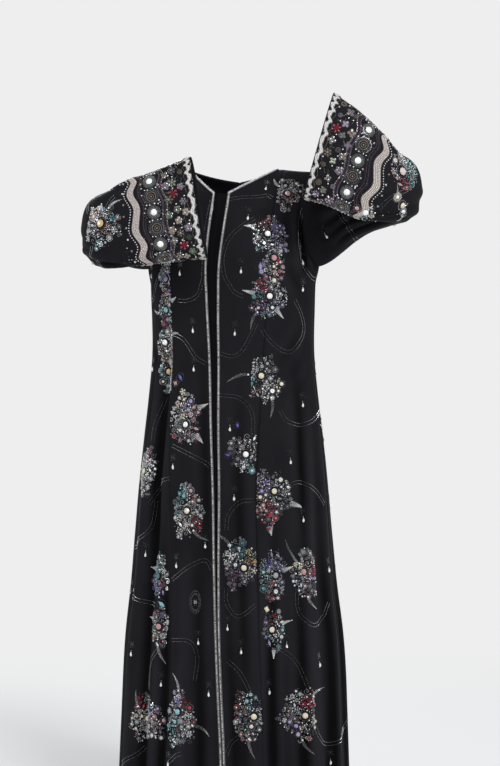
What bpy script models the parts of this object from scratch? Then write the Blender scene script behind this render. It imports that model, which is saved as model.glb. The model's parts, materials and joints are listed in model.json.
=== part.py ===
"""Black abaya cloak, worn with both arms raised and bent, for a general figure.

Metres, +Z up.  The front faces -Y and +X is the wearer's left.  The origin is the point between the
shoulders where the wearer carries the cloak.  Every piece of cloth is a closed wall with a plain inside:
its outer points come from body rings, torso columns or sleeve sections, and its inner points lie one
wall thickness below them.  Pieces meet at seams with a small gap.
"""
import math

import bpy
import numpy as np
from mathutils import Vector
from mathutils.geometry import delaunay_2d_cdt

COLLECTION = "abaya_cloak"

# ---------------------------------------------------------------- driving dimensions, metres
WALL = 0.0015           # cloth wall
SEAM = 0.0003           # gap between two pieces at a seam
LIFT = 0.0006           # gap below what is sewn on a panel
ROUND_LIFT = 0.0010     # the same for a trim that goes round a sleeve, over its bends
NECK_LIFT = 0.0020      # and for the beaded trim where it crosses the shoulder seam
ARMHOLE_DRAW = 0.0004   # how far each side of an armhole seam is drawn back from it
HEM_HEIGHT = -1.41      # the origin is at shoulder height
CHEST_HEIGHT = -0.25    # closed rings below, torso columns above
CHEST_STEP = 0.02       # stretch of ring over which a column's slope is read there
UNDERARM = (0.197, 0.0, -0.207)
SHOULDER_TIP = (0.187, 0.010, 0.002)
NECK_SHOULDER = (0.096, 0.010, 0.010)
ARMHOLE_FRONT = 0.062   # how far the armhole bows forward, and backward
ARMHOLE_INSET = 0.020   # how far its middle lies inside the shoulder tip
ARMHOLE_SPREAD = 0.68   # under 1, the body's columns stand wider apart near the side seam
ARMHOLE_STRAIGHT = 1.0  # how much straighter columns end at the armhole than at the shoulder
FRONT_TIP_ANGLE = 54    # where the shoulder tip's column starts on the rings, degrees from centre front
BACK_TIP_ANGLE = 132    # and behind
FOLD_RADIUS = 0.20      # turns a hanging fold's reach into an angle
NECK_FRONT = (-0.094, -0.046)       # depth and height of the V point
NECK_FRONT_MIDDLE = (0.050, -0.060, -0.024)
NECK_BACK = (0.055, -0.012)         # depth and height at centre back
NECK_BACK_MIDDLE = (0.060, 0.048, -0.004)
SHOULDER_SEAM_AT = 0.118            # where the princess seam meets the shoulder seam
SLEEVE_POWER = 2.3      # 2 gives elliptic sleeve sections, more gives squarer ones
SLEEVE_RADIUS = 0.085   # turns an angle round the sleeve into a distance for its folds
CAP_LENGTH = 0.09       # stretch over which the armhole's shape passes into the sections
CAP_PLAIN = 0.03        # stretch over which sleeve folds grow from the armhole

TRIM_WIDTH = 0.0060
TRIM_THICKNESS = 0.0012
TRIM_INSET = 0.0002     # how far the trim lies inside the cloth's edge
PLACKET_UNDERLAP = 0.010
PLACKET_DEPTH = 0.0030  # from the fronts' outer face to the strip's
PLACKET_THICKNESS = 0.0012
PLACKET_CREASE = 0.0008 # depth of its middle line
PLACKET_SHORTER = 0.1   # share of the last row by which it ends below the V point
LACE_WIDTH = 0.014
LACE_SCALLOPS = 22
LACE_SAMPLES = 4        # points for one scallop
LACE_WAVE = 0.0036
TAPE_WIDTH = 0.0135
TAPE_WAVES = 8
TAPE_SAMPLES = 6
TAPE_WAVE = 0.0045
TAPE_FROM_CUFF = 0.127
MEDALLIONS_FROM_CUFF = 0.089
MEDALLIONS = 6
MEDALLION_RADIUS = 0.0165
STONE_RADIUS = 0.0075

# ---------------------------------------------------------------- short tables
# Body rings.  Columns: height, half width, depth of the front, depth of the back.
BODY_RINGS = (
    (-1.410, 0.258, 0.190, 0.172),
    (-1.220, 0.252, 0.182, 0.166),
    (-1.010, 0.242, 0.172, 0.160),
    (-0.905, 0.230, 0.165, 0.155),
    (-0.800, 0.222, 0.158, 0.150),
    (-0.690, 0.214, 0.150, 0.145),
    (-0.585, 0.203, 0.140, 0.135),
    (-0.490, 0.192, 0.128, 0.122),
    (-0.400, 0.184, 0.122, 0.112),
    (-0.290, 0.185, 0.131, 0.113),
    (-0.200, 0.188, 0.137, 0.116),
)

# Cut lines of the front.  Columns: height, middle of the opening, half its width,
# princess seam of the left front, princess seam of the right front.
FRONT_LINES = (
    (-1.410, 0.0300, 0.0006, 0.114, -0.108),
    (-1.260, 0.0270, 0.0006, 0.110, -0.104),
    (-1.140, 0.0200, 0.0006, 0.106, -0.100),
    (-1.010, 0.0130, 0.0008, 0.100, -0.096),
    (-0.840, 0.0071, 0.0022, 0.094, -0.100),
    (-0.710, 0.0042, 0.0037, 0.089, -0.108),
    (-0.500, -0.0060, 0.0060, 0.093, -0.112),
    (-0.350, -0.0100, 0.0083, 0.100, -0.112),
    (-0.260, -0.0100, 0.0105, 0.108, -0.112),
    (-0.160, -0.0110, 0.0127, 0.116, -0.114),
    (-0.098, -0.0041, 0.0083, 0.118, -0.116),
    (-0.050, 0.0000, 0.0140, 0.118, -0.118),
)

# Hanging folds.  Columns: angle from centre front in degrees (+ is the wearer's left), height of the
# top, height of full depth, reach to each side, depth (+ is a ridge, - a trough).
BODY_FOLDS = (
    (-42, -0.22, -0.45, 0.016, -0.0100),
    (-55, -0.26, -0.70, 0.022, 0.0070),
    (-30, -0.62, -1.15, 0.020, -0.0070),
    (-15, -0.80, -1.35, 0.030, 0.0060),
    (-3, -0.66, -1.30, 0.013, -0.0050),
    (22, -0.60, -1.20, 0.030, 0.0050),
    (39, -0.30, -1.10, 0.017, -0.0100),
    (52, -0.80, -1.30, 0.024, 0.0080),
    (66, -0.50, -0.95, 0.018, -0.0080),
    (74, -0.78, -1.30, 0.022, 0.0070),
    (-72, -0.42, -1.05, 0.022, -0.0080),
    (-88, -0.50, -1.20, 0.026, 0.0080),
    (91, -0.44, -1.10, 0.024, -0.0070),
    (106, -0.40, -1.15, 0.026, 0.0080),
    (124, -0.34, -0.95, 0.020, -0.0110),
    (143, -0.48, -1.20, 0.028, 0.0090),
    (161, -0.30, -0.80, 0.020, -0.0090),
    (178, -0.52, -1.25, 0.032, 0.0090),
    (-164, -0.33, -1.00, 0.021, -0.0110),
    (-146, -0.55, -1.10, 0.028, 0.0080),
    (-127, -0.36, -0.90, 0.020, -0.0100),
    (-108, -0.46, -1.25, 0.026, 0.0080),
)

# Sleeve sections, armhole to cuff.  Columns: middle x, y, z, half height, half depth,
# lean of the top against the way to the cuff in degrees.
LEFT_SLEEVE = (
    (0.188, 0.005, -0.1025, 0.1045, 0.062, 0),
    (0.238, 0.012, -0.0840, 0.0900, 0.062, 0),
    (0.292, 0.001, -0.0670, 0.0745, 0.058, 0),
    (0.350, -0.020, -0.0560, 0.0665, 0.052, 0),
    (0.392, -0.070, -0.0500, 0.0680, 0.045, 8),
    (0.376, -0.118, -0.0470, 0.0780, 0.042, 17),
    (0.343, -0.151, -0.0280, 0.0920, 0.038, 19),
    (0.292, -0.170, 0.0080, 0.1030, 0.034, 19),
    (0.237, -0.180, 0.0380, 0.1150, 0.030, 16),
)
RIGHT_SLEEVE = (
    (-0.188, 0.005, -0.1025, 0.1045, 0.062, 0),
    (-0.228, -0.018, -0.1040, 0.0940, 0.058, 0),
    (-0.252, -0.066, -0.1150, 0.0840, 0.053, 0),
    (-0.257, -0.125, -0.1260, 0.0790, 0.048, 0),
    (-0.243, -0.180, -0.1330, 0.0770, 0.045, 3),
    (-0.214, -0.222, -0.1360, 0.0810, 0.042, 8),
    (-0.165, -0.242, -0.1250, 0.0900, 0.038, 10),
    (-0.092, -0.243, -0.1110, 0.0970, 0.034, 11),
    (-0.010, -0.233, -0.0910, 0.1080, 0.030, 9),
)

# Sleeve folds.  Columns: distance from the armhole and turn round the sleeve in degrees (0 under the
# arm, 90 at the inner bend, 180 on top, 270 outside) at one end, the same at the other, reach, depth.
LEFT_SLEEVE_FOLDS = (
    (0.035, 40, 0.030, 150, 0.010, -0.0050),
    (0.060, 200, 0.045, 320, 0.011, -0.0040),
    (0.245, 300, 0.300, 330, 0.012, -0.0060),
    (0.255, 275, 0.330, 285, 0.010, 0.0040),
    (0.200, 20, 0.235, 80, 0.011, -0.0060),
)
RIGHT_SLEEVE_FOLDS = (
    (0.040, 210, 0.055, 320, 0.011, -0.0050),
    (0.150, 60, 0.170, 120, 0.012, -0.0060),
    (0.230, 320, 0.290, 345, 0.013, -0.0060),
    (0.215, 300, 0.275, 275, 0.011, 0.0035),
    (0.200, 20, 0.225, 80, 0.011, -0.0060),
)

# Thick bead clusters on the body, raised as low pads with a stone on top.  Columns: angle in degrees,
# height, half width, half height.
BODY_CLUSTERS = (
    (33, -0.270, 0.016, 0.040),
    (-45, -0.500, 0.014, 0.036),
    (-22, -0.700, 0.022, 0.034),
    (13, -0.600, 0.020, 0.030),
    (31, -0.505, 0.016, 0.026),
    (31, -0.760, 0.014, 0.034),
    (15, -0.855, 0.020, 0.030),
    (31, -0.970, 0.014, 0.038),
    (56, -0.865, 0.022, 0.038),
    (-47, -0.930, 0.014, 0.040),
    (-40, -1.180, 0.022, 0.030),
    (-16, -1.180, 0.020, 0.036),
    (14, -1.190, 0.020, 0.034),
    (46, -1.190, 0.024, 0.038),
    (-62, -0.660, 0.018, 0.034),
    (98, -0.560, 0.022, 0.034),
    (112, -1.120, 0.024, 0.036),
    (140, -0.760, 0.024, 0.036),
    (162, -1.180, 0.024, 0.036),
    (-170, -0.560, 0.024, 0.036),
    (-166, -0.900, 0.024, 0.036),
    (-138, -1.160, 0.024, 0.036),
    (-118, -0.820, 0.024, 0.036),
    (-96, -1.080, 0.022, 0.034),
)
# Heights of a pad's rim and of its middle, and the corners of its outline.
CLUSTER_RISE = 0.0016
CLUSTER_TOP = 0.0036
MEDALLION_RISE = 0.0022
MEDALLION_TOP = 0.0026
STONE_RISE = 0.0029
STONE_TOP = 0.0042
CLUSTER_SIDES = 10
MEDALLION_SIDES = 12
STONE_SIDES = 8
PAD_SHOULDER = 0.88     # size of a pad's raised rim against its foot
PAD_CLEAR = 0.12        # rows and columns of cloth round a pad that are cut again

# Mesh counts: panel columns round each half of the body, rows, and sleeve sections.
FRONT_CENTRE_COLUMNS = 6
SHOULDER_COLUMNS = 3
ARMHOLE_COLUMNS = 6
BACK_NECK_COLUMNS = 6
SKIRT_ROWS = 18
TORSO_ROWS = 9
SLEEVE_COLUMNS = 24
SLEEVE_RINGS = 21

SIDE_SIGN = {"left": 1, "right": -1}

# Materials.  Columns: red, green, blue, roughness, metallic.
MATERIALS = {
    "black_crepe": (0.012, 0.012, 0.014, 0.82, 0.0),
    "beaded_trim": (0.62, 0.55, 0.54, 0.45, 0.1),
    "white_lace": (0.74, 0.74, 0.70, 0.60, 0.0),
    "rose_tape": (0.62, 0.50, 0.45, 0.55, 0.1),
}


# ---------------------------------------------------------------- small helpers
def smooth_step(values):
    """Return 0 below 0, 1 above 1 and an S curve between."""
    clipped = np.clip(values, 0.0, 1.0)
    return clipped * clipped * (3.0 - 2.0 * clipped)


def smooth_rows(stations, columns, wanted):
    """Interpolate table columns with a cubic through the rows, slopes from each row's neighbours."""
    stations = np.asarray(stations, float)
    columns = np.asarray(columns, float)
    slopes = np.gradient(columns, stations, axis=0)
    wanted = np.clip(np.atleast_1d(wanted), stations[0], stations[-1])
    row = np.clip(np.searchsorted(stations, wanted) - 1, 0, len(stations) - 2)
    span = stations[row + 1] - stations[row]
    t = ((wanted - stations[row]) / span)[:, None]
    span = span[:, None]
    return ((2 * t ** 3 - 3 * t ** 2 + 1) * columns[row] + (t ** 3 - 2 * t ** 2 + t) * span * slopes[row]
            + (3 * t ** 2 - 2 * t ** 3) * columns[row + 1] + (t ** 3 - t ** 2) * span * slopes[row + 1])


def table_at(table, heights):
    """Read a table whose first column is a height."""
    table = np.asarray(table)
    return smooth_rows(table[:, 0], table[:, 1:], heights)


def unit(vectors):
    """Scale vectors to length one."""
    return vectors / np.maximum(np.linalg.norm(vectors, axis=-1, keepdims=True), 1e-12)


def grid_normals(grid, wrap):
    """Return a grid's normals: the cross product of its row and column differences."""
    down = np.gradient(grid, axis=0)
    if wrap:
        across = np.roll(grid, -1, axis=1) - np.roll(grid, 1, axis=1)
    else:
        across = np.gradient(grid, axis=1)
    return unit(np.cross(across, down))


# ---------------------------------------------------------------- body surface
def ring_angles(side, heights):
    """Return the angle from centre front of every column of one half, for each height."""
    sign = SIDE_SIGN[side]
    width = table_at(BODY_RINGS, heights)[:, 0]
    lines = table_at(FRONT_LINES, heights)
    seam = np.arcsin(sign * (lines[:, 2] if side == "left" else lines[:, 3]) / width)
    edge = np.arcsin((sign * lines[:, 0] + lines[:, 1]) / width)
    centre = np.linspace(0, 1, FRONT_CENTRE_COLUMNS + 1)
    edge_x = np.sin(edge)[:, None]
    seam_x = np.sin(seam)[:, None]
    front = np.arcsin(edge_x + (seam_x - edge_x) * centre)
    quarter = math.pi / 2
    seam = seam[:, None]
    tip = math.radians(FRONT_TIP_ANGLE) + 0 * seam
    back_tip = math.radians(BACK_TIP_ANGLE)
    shoulder = np.linspace(0, 1, SHOULDER_COLUMNS + 1)[1:]
    under = np.linspace(0, 1, ARMHOLE_COLUMNS + 1) ** ARMHOLE_SPREAD
    side_front = np.hstack([seam + (tip - seam) * shoulder, quarter - (quarter - tip) * under[-2::-1]])
    rest = np.linspace(0, 1, SHOULDER_COLUMNS + BACK_NECK_COLUMNS + 1)[1:]
    back = np.concatenate([quarter + (back_tip - quarter) * under[1:],
                           back_tip + (math.pi - back_tip) * rest]) + 0 * seam
    return np.hstack([front, side_front, back])


def fold_depth(angles, heights, sign):
    """Add up the hanging folds: each a bell across, growing from its top down to its full depth."""
    total = np.zeros_like(angles)
    for middle, top, full, reach, depth in BODY_FOLDS:
        across = (sign * angles - math.radians(middle) + math.pi) % (2 * math.pi) - math.pi
        bell = np.exp(-(across * FOLD_RADIUS / reach) ** 2)
        total += depth * bell * smooth_step((top - heights) / (top - full))
    return total


def ring_points(side, angles, heights, fold=True):
    """Place angles on the body rings: an ellipse with one depth in front and another behind."""
    sign = SIDE_SIGN[side]
    rings = table_at(BODY_RINGS, heights)
    width = rings[:, 0:1]
    depth = np.where(np.cos(angles) > 0, rings[:, 1:2], rings[:, 2:3])
    x = width * np.sin(angles)
    y = -depth * np.cos(angles)
    if fold:
        out = unit(np.stack([x / width ** 2, y / depth ** 2], axis=-1))
        push = fold_depth(angles, np.asarray(heights)[:, None] + 0 * angles, sign)
        x = x + out[..., 0] * push
        y = y + out[..., 1] * push
    z = np.asarray(heights)[:, None] + 0 * angles
    return np.stack([sign * x, y, z], axis=-1)


def armhole(turn, sign, facing):
    """Return armhole points: turn 0 at the underarm, pi at the shoulder, facing -1 front or 1 back."""
    share = ((1 - np.cos(turn)) / 2)[:, None]
    line = np.array(UNDERARM) * (1 - share) + np.array(SHOULDER_TIP) * share
    bow = np.sin(turn)
    line[:, 0] -= ARMHOLE_INSET * bow
    line[:, 1] += facing * ARMHOLE_FRONT * bow
    line[:, 0] *= sign
    return line


def bezier(start, middle, end, steps):
    """Return a quadratic curve through three control points."""
    t = np.linspace(0, 1, steps + 1)[:, None]
    return (1 - t) ** 2 * np.array(start) + 2 * t * (1 - t) * np.array(middle) + t ** 2 * np.array(end)


def top_edge(side):
    """Return the top boundary of one half and the way the cloth runs there, column by column."""
    sign = SIDE_SIGN[side]
    middle, gap = table_at(FRONT_LINES, NECK_FRONT[1])[0, :2]
    front_edge = (sign * middle + gap, *NECK_FRONT)
    seam_at = np.array(NECK_SHOULDER)
    seam_at[0] = SHOULDER_SEAM_AT
    neck_steps = FRONT_CENTRE_COLUMNS - 1
    neck = bezier(front_edge, NECK_FRONT_MIDDLE, NECK_SHOULDER, neck_steps)
    shoulder = np.linspace(seam_at, SHOULDER_TIP, SHOULDER_COLUMNS + 1)
    turns = np.linspace(math.pi, 0, ARMHOLE_COLUMNS + 1)
    front = np.vstack([neck, shoulder, armhole(turns[1:], 1, -1)])
    back_neck = bezier(NECK_SHOULDER, NECK_BACK_MIDDLE, (0, *NECK_BACK), BACK_NECK_COLUMNS)
    back_shoulder = np.linspace(SHOULDER_TIP, NECK_SHOULDER, SHOULDER_COLUMNS + 1)
    back = np.vstack([armhole(turns[::-1][1:], 1, 1), back_shoulder[1:], back_neck[1:]])
    points = np.vstack([front, back])
    tip = FRONT_CENTRE_COLUMNS + SHOULDER_COLUMNS
    under = tip + ARMHOLE_COLUMNS
    back_tip = under + ARMHOLE_COLUMNS
    last = len(points) - 1
    # Columns: column, lean outward, lean backward.
    leans = np.array(((0, 0.0, 0.45), (neck_steps, 0.0, 2.0), (tip, 1.2, 1.3), (tip + 1, 0.5, 0.4),
                      (tip + 2, 0.2, 0.1), (under, 0.0, 0.0), (back_tip - 2, 0.2, 0.0),
                      (back_tip - 1, 0.5, -0.3), (back_tip, 1.2, -1.3),
                      (last - BACK_NECK_COLUMNS, 0.0, -2.0), (last, 0.0, -0.6)))
    column = np.arange(len(points))
    out, back = (np.interp(column, leans[:, 0], leans[:, k]) for k in (1, 2))
    way = unit(np.stack([sign * out, back, 1 + 0 * out], axis=-1))
    points[:, 0] *= sign
    return points, way


def half_body(side):
    """Return one half of the body as rows from the hem up and columns from the opening to centre back."""
    skirt = np.linspace(HEM_HEIGHT, CHEST_HEIGHT, SKIRT_ROWS + 1)
    lower = ring_points(side, ring_angles(side, skirt), skirt)
    nearby = np.array([CHEST_HEIGHT - CHEST_STEP / 2, CHEST_HEIGHT + CHEST_STEP / 2])
    angles = ring_angles(side, nearby)
    slope = unit(np.diff(ring_points(side, angles, nearby, fold=False), axis=0))[0]
    top, way = top_edge(side)
    start = lower[-1]
    length = np.linalg.norm(top - start, axis=1, keepdims=True)
    tip = FRONT_CENTRE_COLUMNS + SHOULDER_COLUMNS
    inner = slice(tip + 1, tip + 2 * ARMHOLE_COLUMNS)
    way[inner] = unit(way[inner] + ARMHOLE_STRAIGHT * unit(top - start)[inner])
    t = np.linspace(0, 1, TORSO_ROWS + 1)[1:, None, None]
    upper = ((2 * t ** 3 - 3 * t ** 2 + 1) * start + (t ** 3 - 2 * t ** 2 + t) * length * slope
             + (3 * t ** 2 - 2 * t ** 3) * top + (t ** 3 - t ** 2) * length * way)
    return np.vstack([lower, upper])


def body_surface():
    """Return both halves with normals that agree at centre back and along the shoulder seams."""
    halves = {}
    for side in SIDE_SIGN:
        grid = half_body(side)
        normals = grid_normals(grid, wrap=False) * SIDE_SIGN[side]
        normals[:, -1, 0] = 0
        normals = unit(normals)
        first = FRONT_CENTRE_COLUMNS - 1
        count = SHOULDER_COLUMNS + 2
        last = grid.shape[1] - 1 - BACK_NECK_COLUMNS
        front = np.arange(first, first + count)
        back = last - np.maximum(np.arange(count) - 1, 0)
        back[0] = last
        shared = unit(normals[-1, front] + normals[-1, back])
        normals[-1, front] = shared
        normals[-1, back[1:]] = shared[1:]
        halves[side] = [grid, normals]
    return halves


# ---------------------------------------------------------------- sleeve surface
def sleeve_surface(side, sections, folds):
    """Return a sleeve as rings from the armhole to the cuff: a superellipse on each section's plane.

    The first ring is the armhole itself, and the next ones pass smoothly from it to the sections.
    """
    sign = SIDE_SIGN[side]
    table = np.asarray(sections, float)
    steps = np.linalg.norm(np.diff(table[:, :3], axis=0), axis=1)
    stations = np.concatenate([[0], np.cumsum(steps)])
    length = stations[-1]
    along = np.linspace(0, length, SLEEVE_RINGS + 1)
    rows = smooth_rows(stations, table, along)
    ahead = np.gradient(rows[:, :3], along, axis=0)
    ahead[:, 2] = 0
    ahead = unit(ahead)
    up = np.array([0.0, 0.0, 1.0])
    lean = np.radians(rows[:, 5:6])
    tall = np.cos(lean) * up - np.sin(lean) * ahead
    deep = sign * np.cross(ahead, up)
    turn = np.linspace(0, 2 * math.pi, SLEEVE_COLUMNS, endpoint=False)
    power = 2 / SLEEVE_POWER
    rise = -np.sign(np.cos(turn)) * np.abs(np.cos(turn)) ** power
    depth = np.sign(np.sin(turn)) * np.abs(np.sin(turn)) ** power
    rise = rise[None, :, None]
    depth = depth[None, :, None]
    grid = (rows[:, None, :3] + rise * (rows[:, 3:4] * tall)[:, None, :]
            + depth * (rows[:, 4:5] * deep)[:, None, :])
    blend = smooth_step(along / CAP_LENGTH)[:, None, None]
    loop = armhole_loop(side)
    shift = rows[:, None, :3] - rows[0, None, None, :3]
    grid = (loop + shift) * (1 - blend) + grid * blend
    out = grid_normals(grid, wrap=True) * -sign
    push = np.zeros(grid.shape[:2])
    for start, start_turn, end, end_turn, reach, height in folds:
        push += crease(along[:, None], turn[None, :], start, start_turn, end, end_turn, reach) * height
    grid = grid + out * (push * smooth_step(along / CAP_PLAIN)[:, None])[:, :, None]
    return grid, grid_normals(grid, wrap=True) * -sign


def crease(along, turn, start, start_turn, end, end_turn, reach):
    """Return a bell round a straight run on the unrolled sleeve, fading past its ends."""
    a = np.array([start, math.radians(start_turn) * SLEEVE_RADIUS])
    b = np.array([end, math.radians(end_turn) * SLEEVE_RADIUS])
    run = b - a
    span = np.hypot(*run)
    x = along - a[0] + 0 * turn
    y = turn * SLEEVE_RADIUS - a[1] + 0 * along
    forward = (x * run[0] + y * run[1]) / span
    beside = (x * run[1] - y * run[0]) / span
    past = np.maximum(np.maximum(-forward, forward - span), 0)
    return np.exp(-(beside / reach) ** 2 - (past / (1.5 * reach)) ** 2)


def armhole_loop(side):
    """Return the armhole as the sleeve sees it: the body's own corners and the points midway."""
    sign = SIDE_SIGN[side]
    turns = np.linspace(0, math.pi, ARMHOLE_COLUMNS + 1)
    corners = np.vstack([armhole(turns, sign, -1), armhole(turns[::-1], sign, 1)[1:-1]])
    middles = (corners + np.roll(corners, -1, axis=0)) / 2
    return np.stack([corners, middles], axis=1).reshape(-1, 3)


# ---------------------------------------------------------------- reading a wall's own triangles
def grid_point(grid, row, column, wrap=False):
    """Return the point of a grid at a fractional row and column, on the triangles that the wall uses."""
    rows, columns = grid.shape[:2]
    row = np.asarray(row, float)
    column = np.asarray(column, float)
    r = np.clip(np.floor(row).astype(int), 0, rows - 2)
    c = np.floor(column).astype(int)
    if not wrap:
        c = np.clip(c, 0, columns - 2)
    fr = (row - r)[..., None]
    fc = (column - c)[..., None]
    p00 = grid[r, c % columns]
    p10 = grid[r + 1, c % columns]
    p01 = grid[r, (c + 1) % columns]
    p11 = grid[r + 1, (c + 1) % columns]
    return np.where(fr > fc, p00 + fr * (p10 - p00) + fc * (p11 - p10),
                    p00 + fc * (p01 - p00) + fr * (p11 - p01))


def wall_point(surface, row, column, lift, wrap=False):
    """Return a point moved out from a wall by a lift along the wall's normal."""
    grid, normals = surface
    normal = unit(grid_point(normals, row, column, wrap))
    return grid_point(grid, row, column, wrap) + normal * np.asarray(lift)[..., None]


# ---------------------------------------------------------------- closed meshes
def grid_faces(rows, columns, wrap, first):
    """Return triangles of a grid whose first vertex has the given number."""
    across = columns if wrap else columns - 1
    r, c = np.meshgrid(np.arange(rows - 1), np.arange(across), indexing="ij")
    right = (c + 1) % columns
    a = (first + r * columns + c).ravel()
    b = (first + r * columns + right).ravel()
    d = (first + (r + 1) * columns + c).ravel()
    e = (first + (r + 1) * columns + right).ravel()
    return np.vstack([np.stack([a, b, e], axis=1), np.stack([a, e, d], axis=1)])


def closed_wall(name, outer, inner, wrap=False, pads=()):
    """Build a closed solid from an outer and an inner grid of the same size.

    Pads are raised in the outer points only, so the inside stays plain.
    """
    rows, columns = outer.shape[:2]
    count = rows * columns
    raised, outer_faces = raise_pads(outer, outer - inner, pads, wrap)
    points = np.vstack([outer.reshape(-1, 3), inner.reshape(-1, 3), raised])
    faces = [outer_faces, grid_faces(rows, columns, wrap, count)[:, ::-1]]
    index = np.arange(count).reshape(rows, columns)
    if wrap:
        rims = [np.append(index[0], index[0, 0])[::-1], np.append(index[-1], index[-1, 0])]
    else:
        rims = [np.concatenate([index[0, ::-1], index[1:-1, 0], index[-1], index[-2::-1, -1]])]
    for rim in rims:
        a = rim[:-1]
        b = rim[1:]
        faces.append(np.stack([a, b, b + count], axis=1))
        faces.append(np.stack([a, b + count, a + count], axis=1))
    return mesh_object(name, points, np.vstack(faces))


def run_lengths(points, wrap=False):
    """Return the distance along a row of points, with the way back to the first one if it is closed."""
    if wrap:
        points = np.vstack([points, points[:1]])
    return np.concatenate([[0], np.cumsum(np.linalg.norm(np.diff(points, axis=0), axis=1))])


def pad_places(outer, pad, wrap):
    """Return a pad's rows, columns and lifts: a foot ring on the cloth, a shoulder ring and a middle."""
    row, column, half_width, half_height, rise, top_rise, sides = pad
    along_row = run_lengths(outer[round(row)], wrap)
    along_column = run_lengths(outer[:, round(column) % outer.shape[1]])
    turn = (np.arange(sides) + 0.5) * 2 * math.pi / sides
    all_rows = np.arange(len(along_column))
    all_columns = np.arange(len(along_row))
    across = np.interp(column, all_columns, along_row)
    up = np.interp(row, all_rows, along_column)
    rows = []
    columns = []
    for size in (1.0, PAD_SHOULDER):
        rows.append(np.interp(up + size * half_height * np.sin(turn), along_column, all_rows))
        columns.append(np.interp(across + size * half_width * np.cos(turn), along_row, all_columns))
    lifts = np.concatenate([np.zeros(sides), np.full(sides, rise), [top_rise]])
    return np.concatenate([*rows, [row]]), np.concatenate([*columns, [column]]), lifts


def raise_pads(outer, thickness, pads, wrap):
    """Return the pads' points and the outer triangles, re-cut round each pad's rings.

    The grid cells that a pad touches are cut again by a constrained Delaunay triangulation on the
    unrolled grid, and all other cells keep their two triangles.
    """
    rows, columns = outer.shape[:2]
    faces = grid_faces(rows, columns, wrap, 0)
    if not pads:
        return np.zeros((0, 3)), faces
    out = unit(thickness)
    cell_columns = columns if wrap else columns - 1
    touched = np.zeros((rows - 1, cell_columns), bool)
    places = [pad_places(outer, pad, wrap) for pad in pads]
    for pad_rows, pad_columns, _ in places:
        r0 = max(math.floor(pad_rows.min() - PAD_CLEAR), 0)
        r1 = min(math.floor(pad_rows.max() + PAD_CLEAR), rows - 2)
        c0 = max(math.floor(pad_columns.min() - PAD_CLEAR), 0)
        c1 = min(math.floor(pad_columns.max() + PAD_CLEAR), cell_columns - 1)
        touched[r0:r1 + 1, c0:c1 + 1] = True
    cell_height = np.linalg.norm(np.diff(outer, axis=0), axis=2).mean()
    cell_width = np.linalg.norm(np.diff(outer, axis=1), axis=2).mean()

    corners = {}
    for r, c in np.argwhere(touched):
        for corner in ((r, c), (r + 1, c), (r, c + 1), (r + 1, c + 1)):
            corners.setdefault(tuple(int(v) for v in corner), len(corners))
    inside = set()
    for r, c in corners:
        for pad_rows, pad_columns, _ in places:
            row_reach = (pad_rows.max() - pad_rows.min()) / 2 + PAD_CLEAR
            column_reach = (pad_columns.max() - pad_columns.min()) / 2 + PAD_CLEAR
            row_away = r - (pad_rows.max() + pad_rows.min()) / 2
            column_away = c - (pad_columns.max() + pad_columns.min()) / 2
            if math.hypot(row_away / row_reach, column_away / column_reach) < 1:
                inside.add((r, c))
    kept = [corner for corner in corners if corner not in inside]
    number = {corner: k for k, corner in enumerate(kept)}
    flat = [Vector((c * cell_width, r * cell_height)) for r, c in kept]
    owner = [r * columns + c % columns for r, c in kept]
    edges = []
    for r, c in np.argwhere(touched):
        r, c = int(r), int(c)
        for (dr, dc), ends in (((-1, 0), ((r, c), (r, c + 1))), ((1, 0), ((r + 1, c), (r + 1, c + 1))),
                               ((0, -1), ((r, c), (r + 1, c))), ((0, 1), ((r, c + 1), (r + 1, c + 1)))):
            nr, nc = r + dr, c + dc
            if not (0 <= nr < rows - 1 and 0 <= nc < cell_columns and touched[nr, nc]):
                edges.append((number[ends[0]], number[ends[1]]))
    raised = []
    for pad_rows, pad_columns, lifts in places:
        start = len(flat)
        ring = (len(lifts) - 1) // 2
        flat += [Vector((c * cell_width, r * cell_height)) for r, c in zip(pad_rows, pad_columns)]
        owner += [2 * rows * columns + len(raised) + k for k in range(len(lifts))]
        for level in (0, ring):
            edges += [(start + level + k, start + level + (k + 1) % ring) for k in range(ring)]
        normal = unit(grid_point(out, pad_rows, pad_columns, wrap))
        raised += list(grid_point(outer, pad_rows, pad_columns, wrap) + normal * lifts[:, None])
    cut = delaunay_2d_cdt(flat, edges, [], 0, 1e-6)
    owner = np.array([owner[sources[0]] for sources in cut[3]])
    triangles = np.array(cut[2])
    middle = np.array([vert[:] for vert in cut[0]])[triangles].mean(axis=1)
    cell_row = np.floor(middle[:, 1] / cell_height).astype(int)
    cell_column = np.floor(middle[:, 0] / cell_width).astype(int)
    ok = ((cell_row >= 0) & (cell_row < rows - 1) & (cell_column >= 0) & (cell_column < cell_columns))
    ok[ok] = touched[cell_row[ok], cell_column[ok]]
    old = np.tile(~touched.ravel(), 2)
    return np.array(raised), np.vstack([faces[old], owner[triangles[ok]]])


def signed_volume(points, faces):
    """Return the enclosed volume, negative when the faces point in."""
    a, b, c = (points[faces[:, k]] for k in range(3))
    return np.einsum("ij,ij->", a, np.cross(b, c)) / 6


def mesh_object(name, points, faces):
    """Make an object from triangles, turned so that they point out."""
    if signed_volume(points, faces) < 0:
        faces = faces[:, ::-1]
    used, faces = np.unique(faces, return_inverse=True)
    faces = faces.reshape(-1, 3)
    mesh = bpy.data.meshes.new(name)
    mesh.from_pydata(points[used].tolist(), [], faces.tolist())
    mesh.update()
    mesh.shade_smooth()
    mesh.set_sharp_from_angle(angle=math.radians(50))
    item = bpy.data.objects.new(name, mesh)
    bpy.data.collections[COLLECTION].objects.link(item)
    return item


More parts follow.
